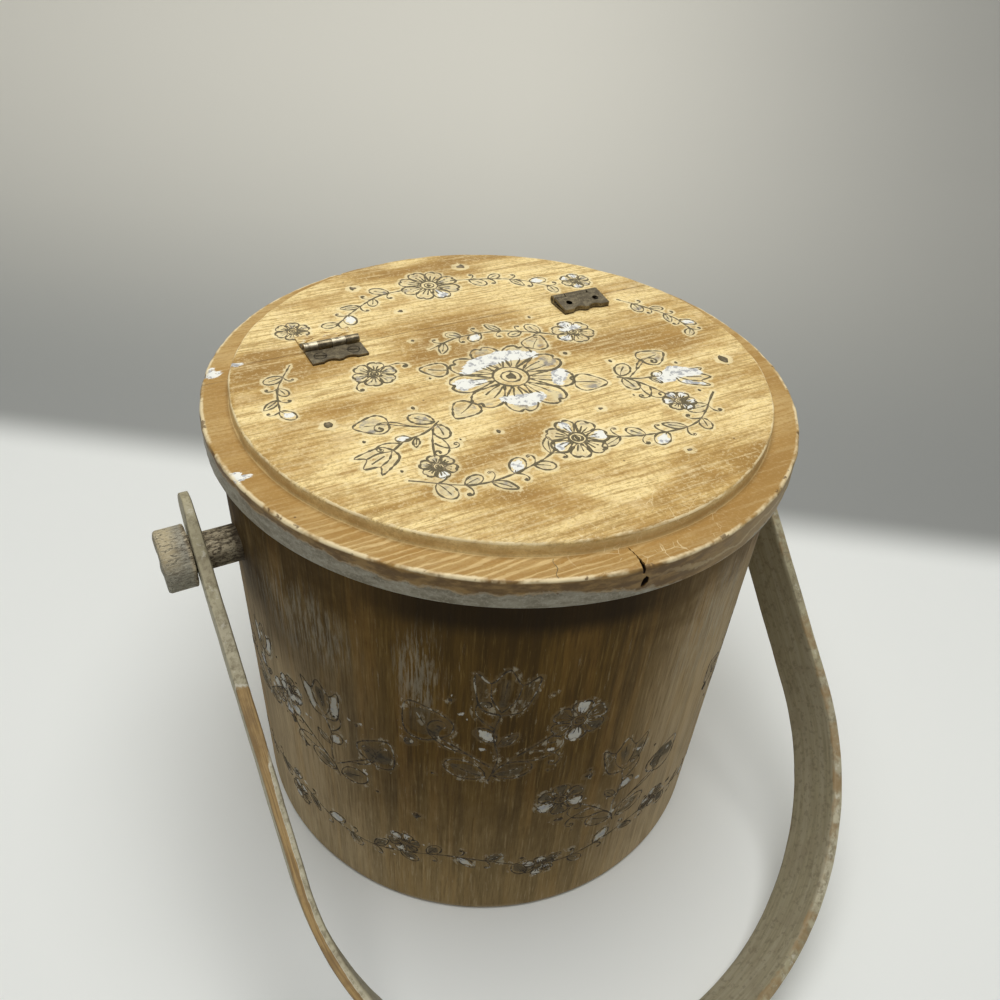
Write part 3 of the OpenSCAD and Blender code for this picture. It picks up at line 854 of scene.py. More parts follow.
def bloom(canvas, at, radius, petals, turn, ink, chipped=0.0):
    """A round flower: notched petals about a ringed eye, some of them chipped to the ground."""
    eye = radius * 0.30
    length = radius - eye
    wide = math.pi * (eye + 0.66 * length) / petals / (0.38 * length) * 0.97
    for i in range(petals):
        a = turn + 360 * i / petals
        base = spot(at, a, eye, 0)
        shape = [(x, y * wide) for x, y in PETAL_SHAPE]
        canvas.stroke("line", placed(smooth(shape), base, a, length / 10), ink)
        layer = "flake" if (i * 0.618 + radius * 0.37) % 1 < chipped else "wash"
        canvas.stroke(layer, placed([(2.4, 0), (7.6, 0)], base, a, length / 10),
                      [0.14 * length * wide, 0.46 * length * wide])
        for side in (-1.1, 1.1):
            crease = smooth([(0.6, 0.4 * side), (3.4, 0.9 * side), (6.0, side * wide)], 4)
            canvas.stroke("line", placed(crease, base, a, length / 10), ink * 0.65)
    for share in (1.0, 0.55):
        ring = [spot(at, t * 22.5, eye * share, 0) for t in range(17)]
        canvas.stroke("line", ring, ink)
    dot(canvas, at, eye * 0.55)


def tulip(canvas, at, turn, size, ink, layer="wash"):
    """A tulip seen from the side, opening along its turn."""
    canvas.stroke("line", placed(smooth(TULIP_SHAPE), at, turn, size / 10), ink)
    for side in (1, -1):
        fold = smooth([(0.6, 0), (3.8, 1.9 * side), (7.6, 2.4 * side)])
        canvas.stroke("line", placed(fold, at, turn, size / 10), ink * 0.8)
        canvas.stroke(layer, placed([(2.6, 2.8 * side), (7.6, 3.9 * side)], at, turn, size / 10),
                      [size * 0.16, size * 0.12])
    canvas.stroke("wash", placed([(2.6, 0), (7.6, 0)], at, turn, size / 10), [size * 0.12, size * 0.24])
    canvas.stroke("line", placed([(3.5, 0), (8.2, 0)], at, turn, size / 10), ink * 0.6)


def curl(canvas, at, turn, length, side, ink):
    """A tendril that winds up towards its tip."""
    x = y = heading = 0.0
    path = [(0.0, 0.0)]
    for i in range(26):
        t = i / 25
        heading += side * (0.06 + 0.62 * t * t)
        step = length / 26 * (1.35 - 0.8 * t)
        x, y = x + step * math.cos(heading), y + step * math.sin(heading)
        path.append((x, y))
    canvas.stroke("line", placed(path, at, turn), ink)
    dot(canvas, spot(at, turn, x, y), ink * 1.9)


def dot(canvas, at, size):
    """A round dot, laid as one short stroke that swells and tapers."""
    shares = (-1.0, -0.85, -0.5, 0.0, 0.5, 0.85, 1.0)
    width = [size * math.sqrt(max(0.01, 1 - share * share)) for share in shares]
    canvas.stroke("line", [(at[0] + share * size / 2, at[1]) for share in shares], width)


def dots(canvas, places, size):
    for i, at in enumerate(places):
        dot(canvas, at, size * (1 + 0.3 * math.sin(i * 2.4)))


def garland(canvas, points, size, ink, every):
    """A stem with leaves to both sides in turn, and a tendril facing each."""
    path = smooth(points, 10)
    canvas.stroke("line", path, ink)
    run, side, count = 0.0, 1, 0
    for a, b in zip(path[:-1], path[1:]):
        run += math.dist(a, b)
        if run >= every:
            run, side, count = 0.0, -side, count + 1
            turn = math.degrees(math.atan2(b[1] - a[1], b[0] - a[0]))
            leaf(canvas, b, turn + side * 42, size * (1 + 0.15 * math.sin(count * 2.3)), ink * 0.9,
                 OVAL_SHAPE if count % 3 else LEAF_SHAPE, "flake" if count % 5 == 4 else "wash")
            curl(canvas, b, turn - side * 30, size * 1.15, -side, ink * 0.8)


def bouquet(canvas, at, turn, size, ink, chipped=0.4, mirror=1):
    """A tulip, a round flower and a heart-shaped leaf on three stems, with leaves and tendrils."""
    def out(x, y):
        return spot(at, turn, x * size, y * size * mirror)
    canvas.stroke("line", smooth([out(0, 0), out(0.22, 0.03), out(0.45, -0.02), out(0.62, 0.0)]), ink)
    canvas.stroke("line", smooth([out(0.10, 0.02), out(0.28, 0.16), out(0.46, 0.34)]), ink)
    canvas.stroke("line", smooth([out(0.14, 0.0), out(0.27, -0.18), out(0.36, -0.32)]), ink)
    tulip(canvas, out(0.62, 0), turn, size * 0.34, ink, "flake" if chipped > 0.5 else "wash")
    bloom(canvas, out(0.54, 0.45), size * 0.16, 6, turn, ink, chipped)
    leaf(canvas, out(0.34, -0.32), turn - 35 * mirror, size * 0.30, ink, HEART_SHAPE)
    leaf(canvas, out(0.06, 0.02), turn + 62 * mirror, size * 0.24, ink, OVAL_SHAPE)
    leaf(canvas, out(0.04, -0.02), turn - 68 * mirror, size * 0.26, ink, OVAL_SHAPE)
    leaf(canvas, out(0.34, 0.02), turn + 40 * mirror, size * 0.15, ink * 0.9)
    leaf(canvas, out(0.38, 0.0), turn - 46 * mirror, size * 0.15, ink * 0.9, OVAL_SHAPE, "flake")
    curl(canvas, out(0.20, 0.09), turn + 96 * mirror, size * 0.62, -mirror, ink * 0.9)
    curl(canvas, out(0.30, 0.20), turn + 84 * mirror, size * 0.40, mirror, ink * 0.8)
    curl(canvas, out(0.24, -0.13), turn - 84 * mirror, size * 0.60, mirror, ink * 0.9)
    curl(canvas, out(0.50, -0.02), turn - 62 * mirror, size * 0.42, mirror, ink * 0.8)
    dots(canvas, [out(0.80, 0.26), out(0.70, -0.28), out(0.10, 0.34), out(0.0, -0.32)], ink * 1.6)


def flecks(canvas, at, spread, count, size, seed):
    """Small flakes lost from the paint around a flower."""
    dice = random.Random(seed)
    for _ in range(count):
        a, r = dice.uniform(0, math.tau), spread * math.sqrt(dice.random())
        x, y = at[0] + r * math.cos(a), at[1] + r * math.sin(a)
        turn, run = dice.uniform(-0.5, 0.5), dice.uniform(0.3, 1.0) * size
        canvas.stroke("flake", [(x, y), (x + run * math.cos(turn), y + run * math.sin(turn))],
                      [dice.uniform(0.3, 0.9) * size, dice.uniform(0.1, 0.6) * size])


def paint_lid(canvas):
    """The lid's flowers: a large one before the middle, tulips beside it, garlands before and behind."""
    canvas.heft = 1.45
    bloom(canvas, (-2, -10), 26, 9, 14, 0.95, 0.10)
    canvas.stroke("flake", [(-19, 0), (-10, 5), (3, 7), (15, 3)], [4, 9, 9, 6])
    canvas.stroke("flake", [(-13, -25), (-4, -29), (2, -28)], [5, 9, 6])
    canvas.stroke("flake", [(14, -22), (19, -15)], [5, 7])
    for a, size in ((40, 12), (-32, 13), (206, 12), (146, 11)):
        leaf(canvas, spot((-2, -10), a, 27, 0), a + 8, size, 0.8, HEART_SHAPE)
    bouquet(canvas, (-44, -28), 205, 42, 0.8, 0.2)
    bouquet(canvas, (40, -28), -22, 42, 0.8, 0.9, -1)
    canvas.stroke("flake", [(58, -37), (67, -34), (75, -38)], [6, 10, 6])
    bloom(canvas, (-54, 14), 9, 6, 5, 0.75, 0.0)
    curl(canvas, (-46, 18), 20, 14, -1, 0.7)
    curl(canvas, (-62, 10), 215, 12, 1, 0.7)
    bloom(canvas, (44, 14), 9.5, 6, 30, 0.75, 0.5)
    canvas.stroke("flake", [(41, 17), (48, 18)], [4, 5])
    garland(canvas, [(36, 14), (24, 22), (10, 28), (-8, 29), (-24, 24)], 8.5, 0.7, 8.5)
    garland(canvas, [(-70, -58), (-48, -70), (-24, -68), (-9, -62)], 9.5, 0.75, 9.0)
    garland(canvas, [(72, -54), (50, -70), (26, -69), (10, -63)], 9.5, 0.75, 9.0)
    bloom(canvas, (0, -60), 12, 7, 40, 0.85, 0.3)
    garland(canvas, [(-10, 82), (-26, 80), (-42, 70), (-54, 60)], 9, 0.75, 9.0)
    garland(canvas, [(14, 83), (30, 79), (46, 72), (58, 60)], 9, 0.75, 9.0)
    bloom(canvas, (2, 82), 14.5, 8, 10, 0.85, 0.2)
    bloom(canvas, (-74, 62), 7.5, 6, 12, 0.75, 0.0)
    bloom(canvas, (74, 60), 7.5, 6, 12, 0.75, 0.4)
    garland(canvas, [(82, 34), (90, 22), (97, 8), (98, -6)], 8, 0.7, 7.5)
    garland(canvas, [(-84, 34), (-94, 18), (-98, 2)], 8, 0.7, 8.0)
    for at, size in (((-115.9, 49.7), 5.0), ((-123.6, -25.4), 5.5), ((-105, 43.5), 3.0), ((98, 79), 3.5)):
        flecks(canvas, at, size * 0.6, 9, size * 0.8, int(at[0]))
    crack = [spot((0, 0), -110 + 0.25 * math.sin(r), r, 0) for r in flowed(116.4, 125.6, 1.2)]
    canvas.lines.append((np.asarray(crack), np.full(len(crack), 0.14)))
    dots(canvas, [(-84, -14), (94, -34), (-22, 62), (26, 96), (-34, 92)], 3.6)
    dots(canvas, [(-26, -44), (20, -46), (-34, 2), (30, -2), (-28, 34), (32, 34), (36, -84)], 1.8)


def paint_wall(canvas):
    """The wall's flowers: bouquets round its height, a garland low down."""
    canvas.heft = 1.1
    reach = WALL_RADIUS / MM
    # angle in degrees, height, lean, size, and how much of the bloom is chipped
    bunches = ((-174, 96, 88, 50, 0.9), (-150, 84, 98, 62, 0.9), (-118, 112, 86, 72, 0.35),
               (-88, 58, 92, 66, 0.5), (-52, 100, 88, 52, 0.8), (-20, 84, 92, 54, 0.4),
               (14, 74, 90, 52, 0.7), (48, 96, 86, 50, 0.3), (82, 78, 94, 56, 0.8),
               (116, 98, 88, 50, 0.4), (148, 80, 92, 52, 0.6))
    for i, (turn, height, lean, size, chipped) in enumerate(bunches):
        u = math.radians(turn) * reach
        bouquet(canvas, (u, height), lean, size, 0.85, chipped, 1 if i % 2 else -1)
        flecks(canvas, (u + 4, height + size * 0.5), size * 0.40, int(12 * chipped) + 3, 1.4, i)
        dots(canvas, [(u + size * 0.62, height - 6), (u - size * 0.46, height + size * 0.28)], 3.8)
    half = math.pi * reach
    wave = [(-half + half * i / 20, 44 + 5 * math.sin(i * math.pi / 2.5)) for i in range(41)]
    garland(canvas, wave, 10.5, 0.85, 12.5)
    for i in range(12):
        u = -half + half * (i + 0.5) / 6
        bloom(canvas, (u, 52 if i % 2 else 38), 7.5, 6, 13 * i, 0.8, 0.5)
        flecks(canvas, (u, 46), 12, 6, 1.4, 40 + i)


# Mesh helpers

def mesh_object(name, mesh):
    obj = bpy.data.objects.new(name, mesh)
    bpy.context.scene.collection.objects.link(obj)
    return obj


def mesh_from(bm, name):
    """A mesh of what was built, which is then freed."""
    mesh = bpy.data.meshes.new(name)
    bm.to_mesh(mesh)
    bm.free()
    return mesh


def bore(place, radius, length, segments):
    """A cylinder along X at the place, to cut a hole with."""
    bm = bmesh.new()
    turned = Matrix.Translation(place) @ Matrix.Rotation(math.pi / 2, 4, "Y")
    bmesh.ops.create_cone(bm, cap_ends=True, segments=segments, radius1=radius, radius2=radius,
                          depth=length, matrix=turned)
    return mesh_object("bore", mesh_from(bm, "bore"))


def positions(mesh):
    """The mesh's points as rows of an array."""
    place = np.empty(len(mesh.vertices) * 3)
    mesh.vertices.foreach_get("co", place)
    return place.reshape(-1, 3)


def plain_mesh(obj):
    """The mesh that the object's modifiers give. The modifiers are dropped."""
    bpy.context.view_layer.update()
    graph = bpy.context.evaluated_depsgraph_get()
    mesh = bpy.data.meshes.new_from_object(obj.evaluated_get(graph), depsgraph=graph)
    obj.modifiers.clear()
    return mesh


def shade(mesh, angle=38.0):
    """Smooth shading, with edges sharper than the angle left crisp."""
    mesh.polygons.foreach_set("use_smooth", [True] * len(mesh.polygons))
    mesh.set_sharp_from_angle(angle=math.radians(angle))


def lathe(profile, sectors):
    """Points and faces of a closed solid turned about Z. The profile runs from the axis on top,
    outwards and down, to the axis below."""
    rings = profile[1:-1]
    angles = np.arange(sectors) * math.tau / sectors
    points = [(0.0, 0.0, profile[0][1])]
    for r, z in rings:
        points += [(r * math.cos(a), r * math.sin(a), z) for a in angles]
    points.append((0.0, 0.0, profile[-1][1]))
    last = len(points) - 1
    faces = [(0, 1 + i, 1 + (i + 1) % sectors) for i in range(sectors)]
    for k in range(len(rings) - 1):
        a, b = 1 + k * sectors, 1 + (k + 1) * sectors
        faces += [(a + i, b + i, b + (i + 1) % sectors, a + (i + 1) % sectors) for i in range(sectors)]
    a = 1 + (len(rings) - 1) * sectors
    faces += [(a + i, last, a + (i + 1) % sectors) for i in range(sectors)]
    return points, faces


def flowed(start, end, step):
    """Numbers from start to end, both held, spaced by about the step."""
    count = max(1, round(abs(end - start) / step))
    return [start + (end - start) * i / count for i in range(count + 1)]


def cut_away(mesh, place, normal):
    """Cuts the mesh at a plane, drops what lies along the normal and closes the cut."""
    bm = bmesh.new()
    bm.from_mesh(mesh)
    geometry = bm.verts[:] + bm.edges[:] + bm.faces[:]
    bmesh.ops.bisect_plane(bm, geom=geometry, plane_co=place, plane_no=normal, clear_outer=True, dist=1e-7)
    rim = [e for e in bm.edges if e.is_boundary]
    filled = bmesh.ops.holes_fill(bm, edges=rim, sides=0)["faces"]
    bmesh.ops.triangulate(bm, faces=filled)
    bm.to_mesh(mesh)
    bm.free()


def carved(obj, cutters):
    """The object's mesh with the cutters taken away."""
    for cutter in cutters:
        modifier = obj.modifiers.new("cut", "BOOLEAN")
        modifier.operation = "DIFFERENCE"
        modifier.solver = "MANIFOLD"
        modifier.object = cutter
    obj.data = plain_mesh(obj)
    for cutter in cutters:
        bpy.data.objects.remove(cutter)
    return obj.data


def run_tree(name, tree, inputs, base=None):
    """Runs a geometry tree on the base mesh and returns an object holding the plain result."""
    source = mesh_object("source", base or bpy.data.meshes.new("source"))
    modifier = source.modifiers.new("shape", "NODES")
    modifier.node_group = tree
    sockets = {item.name: item.identifier for item in tree.interface.items_tree if item.in_out == "INPUT"}
    for key, value in inputs.items():
        modifier[sockets[key]] = value
    mesh = plain_mesh(source)
    bpy.data.objects.remove(source)
    mesh.name = name
    return mesh_object(name, mesh)


class Shaper(Nodes):
    """A geometry tree under construction, with named inputs."""

    def __init__(self, name, numbers=(), counts=(), geometry=False, objects=()):
        tree = bpy.data.node_groups.new(name, "GeometryNodeTree")
        super().__init__(tree)
        tree.interface.new_socket("Geometry", in_out="OUTPUT", socket_type="NodeSocketGeometry")
        wanted = (("Geometry", ("Geometry",) if geometry else ()), ("Float", numbers), ("Int", counts),
                  ("Object", objects), ("Material", ("Material",)))
        for kind, sockets in wanted:
            for socket in sockets:
                tree.interface.new_socket(socket, in_out="INPUT", socket_type="NodeSocket" + kind)
        self.given = self.add("NodeGroupInput")

    def captured(self, curve, **values):
        """The curve and the values as they are on it at this stage, each under its kind and number."""
        node = self.add("GeometryNodeCaptureAttribute", domain="POINT")
        for name, value in values.items():
            kind = "VECTOR" if value.socket.type == "VECTOR" else "FLOAT"
            node.node.capture_items.new(kind, name)
        for number, value in enumerate((curve, *values.values())):
            self.join(value, node.node.inputs[number])
        return node

    def close(self, geometry):
        """Ends the tree in Realize Instances and Set Material."""
        real = self.add("GeometryNodeRealizeInstances", {0: geometry})[0]
        given = {"Geometry": real, "Material": self.given["Material"]}
        painted = self.add("GeometryNodeSetMaterial", given)
        self.add("NodeGroupOutput", {0: painted[0]})
        return self.tree


def stave_tree():
    """One stave: a block of points bent to its share of the wall."""
    t = Shaper("stave", ("Radius", "Thickness", "Height", "Span", "Turn", "Seat Radius", "Seat Height",
                         "Foot Bevel", "Waviness"), ("Columns", "Rows"))
    g = t.given
    sides = {"Vertices X": g["Columns"], "Vertices Y": 2, "Vertices Z": g["Rows"]}
    block = t.add("GeometryNodeMeshCube", sides)[0]
    across, through, upward = t.split(t.add("GeometryNodeInputPosition")[0])
    angle = g["Turn"] - across * g["Span"]
    z = (upward + 0.5) * g["Height"]
    in_seat = z < g["Seat Height"]
    inner = g["Radius"] - g["Thickness"]
    inner += in_seat * (g["Seat Radius"] - inner)
    bevel = t.math("MAXIMUM", 0.0, g["Foot Bevel"] - z)
    c, s = t.math("COSINE", angle), t.math("SINE", angle)
    wave = t.noise(3.2, 2.0, at=t.point(c, s, z * 1.5)) - 0.5
    outer = g["Radius"] - bevel + wave * g["Waviness"]
    radius = inner + (through + 0.5) * (outer - inner)
    place = t.point(radius * c, radius * s, z)
    return t.close(t.add("GeometryNodeSetPosition", {"Geometry": block, "Position": place})[0])


def strip_tree():
    """The bent strip: a flat section swept along the loop, its ends rounded, its upper edge flared."""
    t = Shaper("bent strip", ("Width", "Thickness", "Flare", "Dents"), geometry=True)
    g = t.given
    path = t.add("GeometryNodeMeshToCurve", {0: g["Geometry"]})[0]
    upright = t.add("GeometryNodeSetCurveNormal", {"Curve": path, "Normal": (0, 0, 1)}, mode="FREE")[0]
    along = t.captured(upright, along=t.add("GeometryNodeSplineParameter")["Length"],
                       length=t.add("GeometryNodeSplineLength")[0],
                       tangent=t.add("GeometryNodeInputTangent")[0])
    box = t.add("GeometryNodeCurvePrimitiveQuadrilateral", {"Width": g["Width"], "Height": g["Thickness"]},
                mode="RECTANGLE")[0]
    eased = t.add("GeometryNodeFilletCurve", {"Curve": box, "Count": 2, "Radius": g["Thickness"] * 0.18},
                  mode="POLY")[0]
    section = t.add("GeometryNodeResampleCurve", {"Curve": eased, "Length": 0.0011}, mode="LENGTH")[0]
    across = t.captured(section, across=t.add("GeometryNodeInputPosition")[0])
    swept = t.add("GeometryNodeCurveToMesh",
                  {"Curve": along[0], "Profile Curve": across[0], "Fill Caps": True})[0]

    # ends rounded to a half circle, the upper edge flared, both faces a little dented
    half = g["Width"] * 0.5
    run = along[1]
    to_end = t.math("MINIMUM", run, along[2] - run)
    short = t.math("DIVIDE", half - to_end, half, clamp=True)
    share = t.math("SUBTRACT", 1.0, short ** 2.6, clamp=True) ** 0.42
    wide, through, _ = t.split(across[1])
    up = wide * (share - 1.0)
    outward = t.vector("CROSS_PRODUCT", (0, 0, 1), along[3])
    flare = g["Flare"] * (t.span(to_end, 0.0, 0.03) * -1.0)
    lift = wide / half * flare
    dent = (t.noise(55.0, 2.0, at=t.add("GeometryNodeInputPosition")[0]) - 0.5) * g["Dents"]
    lift += dent
    lift += through * (t.span(to_end, 0.026, 0.0) * 0.3)
    offset = t.scaled(outward, lift)
    offset = t.vector("ADD", offset, t.point(0.0, 0.0, up))
    shaped = t.add("GeometryNodeSetPosition", {"Geometry": swept, "Offset": offset})[0]

    # the paint is rubbed to amber wood along the upper edge of the left arm and the loop
    upper = t.span(wide, half * -0.84, half * -0.96)
    stretch = t.span(run, 0.073, 0.091) - t.span(run, 0.33, 0.38)
    narrow = t.span(run, 0.098, 0.128)
    outer = t.span(through, g["Thickness"] * 0.2, g["Thickness"] * -0.1)
    amber = upper * stretch * (outer * narrow + (1.0 - narrow))
    edge = t.span(abs(wide) / half, 0.8, 0.98)
    kept = {"along": run, "across": wide, "inward": through, "edge": edge, "amber": amber}
    for name, value in kept.items():
        stored = {"Geometry": shaped, "Name": name, "Value": value}
        shaped = t.add("GeometryNodeStoreNamedAttribute", stored, data_type="FLOAT", domain="POINT")[0]
    return t.close(shaped)


def line_tree():
    """A painted line: each path is laid on the surface and swept with a flat section, thinned by wear."""
    t = Shaper("painted line", ("Wear", "Lift"), geometry=True, objects=("Surface",))
    g = t.given
    path = t.add("GeometryNodeMeshToCurve", {0: g["Geometry"]})[0]
    out = t.add("GeometryNodeInputNamedAttribute", {"Name": "out"}, data_type="FLOAT_VECTOR")[0]
    half = t.add("GeometryNodeInputNamedAttribute", {"Name": "half"}, data_type="FLOAT")[0]
    place = t.add("GeometryNodeInputPosition")[0]
    above = t.vector("ADD", place, t.scaled(out, 0.003))
    face = t.add("GeometryNodeObjectInfo", {"Object": g["Surface"]})["Geometry"]
    ray = {"Target Geometry": face, "Source Position": above, "Ray Direction": t.scaled(out, -1.0),
           "Ray Length": 0.008}
    cast = t.add("GeometryNodeRaycast", ray)
    choice = {"Switch": cast["Is Hit"], "False": place, "True": cast["Hit Position"]}
    hit = t.add("GeometryNodeSwitch", choice, input_type="VECTOR")[0]
    laid = t.add("GeometryNodeSetPosition",
                 {"Geometry": path, "Position": t.vector("ADD", hit, t.scaled(out, g["Lift"]))})[0]
    upright = t.add("GeometryNodeSetCurveNormal", {"Curve": laid, "Normal": out}, mode="FREE")[0]
    flat = {"Width": 0.26, "Height": 2.0}
    section = t.add("GeometryNodeCurvePrimitiveQuadrilateral", flat, mode="RECTANGLE")[0]
    lost = t.span(t.noise(420.0, 3.0, at=place), 0.6, 0.4)
    worn = 1.0 - g["Wear"] * (1.0 - lost)
    sweep = {"Curve": upright, "Profile Curve": section, "Scale": half * worn, "Fill Caps": True}
    swept = t.add("GeometryNodeCurveToMesh", sweep)[0]
    return t.close(swept)


def painted_lines(name, lines, lay, surface, wear, spacing, material):
    """An object holding the lines, laid on the surface. The lay turns a point of the face into a place and
    the outward direction there, or into nothing off the surface."""
    points, edges, halves, outs = [], [], [], []
    for path, half in lines:
        last, kept = None, None
        for i, ((u, v), h) in enumerate(zip(path, half)):
            found = lay(u, v)
            if found is None or h < 0.05:
                last = kept = None
                continue
            same = kept is not None and abs(h - kept[2]) < 0.02 * h
            if same and i < len(path) - 1 and math.dist((u, v), kept[:2]) < spacing:
                continue
            kept = (u, v, h)
            points.append(found[0])
            outs += list(found[1])
            halves.append(h * MM)
            if last is not None:
                edges.append((last, len(points) - 1))
            last = len(points) - 1
    used = sorted({i for edge in edges for i in edge})
    index = {old: new for new, old in enumerate(used)}
    base = bpy.data.meshes.new("paths")
    base.from_pydata([points[i] for i in used], [(index[a], index[b]) for a, b in edges], [])
    base.attributes.new("half", "FLOAT", "POINT").data.foreach_set("value", [halves[i] for i in used])
    normals = [c for i in used for c in outs[3 * i:3 * i + 3]]
    base.attributes.new("out", "FLOAT_VECTOR", "POINT").data.foreach_set("vector", normals)
    inputs = {"Wear": wear, "Lift": 0.00003, "Surface": surface, "Material": finish(material)}
    return run_tree(name, line_tree(), inputs, base)


# Piece builders

def lid_profile(shape, underside):
    """Half section of the lid, from the middle of its top, round its edge, to the middle below."""
    step = shape.mesh_step * 0.72
    radius, flange_top = shape.panel_radius, LID_TOP - shape.panel_rise
    soft, rim = 0.0011, 0.0012
    profile = [(0, LID_TOP)] + [(r, LID_TOP) for r in flowed(step, radius - soft, step)]
    profile += [(radius - soft + soft * math.sin(a), LID_TOP - soft + soft * math.cos(a))
                for a in (0.4, 0.8, 1.2, math.pi / 2)]
    profile += [(radius + 0.0001, z) for z in flowed(LID_TOP - soft - 0.0008, flange_top + 0.0006, 0.0008)]
    profile += [(radius + 0.0004, flange_top + 0.0001)]
    profile += [(r, flange_top) for r in flowed(radius + 0.0012, LID_RADIUS - rim, step)]
    profile += [(LID_RADIUS - rim + rim * math.sin(a), flange_top - rim + rim * math.cos(a))
                for a in (0.4, 0.8, 1.2, math.pi / 2)]
    profile += [(LID_RADIUS, z) for z in flowed(flange_top - rim - 0.0010, underside + rim, 0.0010)]
    profile += [(LID_RADIUS - rim + rim * math.cos(a), underside + rim - rim * math.sin(a))
                for a in (0.5, 1.0)]
    profile += [(r, underside) for r in flowed(LID_RADIUS - rim, 0.006, 0.006)]
    return profile + [(0, underside)]


# Chips out of the lid's rim: angle in degrees, distance from the axis, size
CHIPS = ((156.8, 0.1262, 0.0024), (-168.4, 0.1266, 0.0020), (-20.0, 0.1268, 0.0013),
         (104.0, 0.1266, 0.0018), (-148.0, 0.1268, 0.0012), (-62.0, 0.1267, 0.0014),
         (31.0, 0.1267, 0.0015), (-131.0, 0.1269, 0.0010))


def worn_lid(points, shape):
    """The lathe's points moved as wear has moved them: faces not quite flat, edges dented and chipped."""
    edge, flange_top = shape.panel_radius, LID_TOP - shape.panel_rise
    chips = [(Vector((r * math.cos(math.radians(a)), r * math.sin(math.radians(a)), flange_top)), w)
             for a, r, w in CHIPS]
    moved = []
    for point in points:
        p = Vector(point)
        r = math.hypot(p.x, p.y)
        if p.z > WALL_TOP + 0.001 and r > 1e-6:
            out = Vector((p.x / r, p.y / r, 0))
            p = p + Vector((0, 0, shape.lid_waviness * noise.noise(p * 26)))
            if r > edge - 0.003:
                p += out * (0.0003 * noise.noise(p * 60) + 0.0002 * noise.noise(p * 190))
            at_edge = max(0, 1 - abs(r - edge) / 0.0016) * max(0, 1 - (LID_TOP - p.z) / 0.0022)
            p -= (out + Vector((0, 0, 0.5))) * 0.0008 * at_edge * max(0, noise.noise(p * 90) + 0.05)
            at_rim = max(0, 1 - (LID_RADIUS - r) / 0.0014) * max(0, 1 - abs(flange_top - p.z) / 0.0022)
            p -= (out + Vector((0, 0, 0.7))) * 0.0006 * at_rim * max(0, noise.noise(p * 130) + 0.1)
            for place, size in chips:
                near = max(0, 1 - (p - place).length / size)
                p -= (out * 0.7 + Vector((0, 0, 0.7))) * size * 0.55 * near
        moved.append(p)
    return moved


def split_cutters():
    """The open split in the flap's rim: a thin ragged wedge, widest near the rim, and a pit below it."""
    turn = math.radians(-96.8)
    out, side = Vector((math.cos(turn), math.sin(turn), 0)), Vector((-math.sin(turn), math.cos(turn), 0))
    path = []
    for i, r in enumerate(flowed(0.1162, 0.1290, 0.0006)):
        swell = max(0.0, 1 - abs(r - 0.1252) / 0.0044)
        wide = 0.00012 + 0.00058 * swell + 0.00006 * (i % 3)
        bend = 0.0011 * math.sin((r - 0.1162) * 230) + 0.00012 * math.sin(i * 1.9)
        path.append((out * r + side * bend, wide))
    ring = [p + side * w for p, w in path] + [p - side * w for p, w in reversed(path)]
    bm = bmesh.new()
    low = [bm.verts.new(p + Vector((0, 0, WALL_TOP + 0.0104))) for p in ring]
    high = [bm.verts.new(p + Vector((0, 0, LID_TOP + 0.002))) for p in ring]
    count = len(ring)
    for i in range(count):
        j = (i + 1) % count
        bm.faces.new((low[i], low[j], high[j], high[i]))
    half = len(path)
    for i in range(half - 1):
        a, b, c, d = i, i + 1, count - 2 - i, count - 1 - i
        bm.faces.new((low[d], low[c], low[b], low[a]))
        bm.faces.new((high[a], high[b], high[c], high[d]))
    bmesh.ops.recalc_face_normals(bm, faces=bm.faces)
    wedge = mesh_from(bm, "wedge")
    bm = bmesh.new()
    bmesh.ops.create_icosphere(bm, subdivisions=3, radius=1.0)
    for vert in bm.verts:
        p = vert.co * (1 + 0.25 * noise.noise(vert.co * 2.1))
        vert.co = out * (0.1268 + 0.0026 * p.x) + side * (0.0019 + 0.0014 * p.y + 0.0004 * p.z)
        vert.co.z = WALL_TOP + 0.0068 + 0.0025 * p.z
    return [mesh_object("wedge", wedge), mesh_object("pit", mesh_from(bm, "pit"))]


def take_place(obj, body, slot, *nodes):
    """The finished piece rides on its body and stands for its nodes."""
    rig.ride(obj, body)
    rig.replaces(obj, *nodes)
    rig.slot(obj, slot)
    return obj


def dress(node, material):
    """Gives a carried-over node its material."""
    obj = frame["nodes"][node]
    obj.data.materials.clear()
    obj.data.materials.append(material)


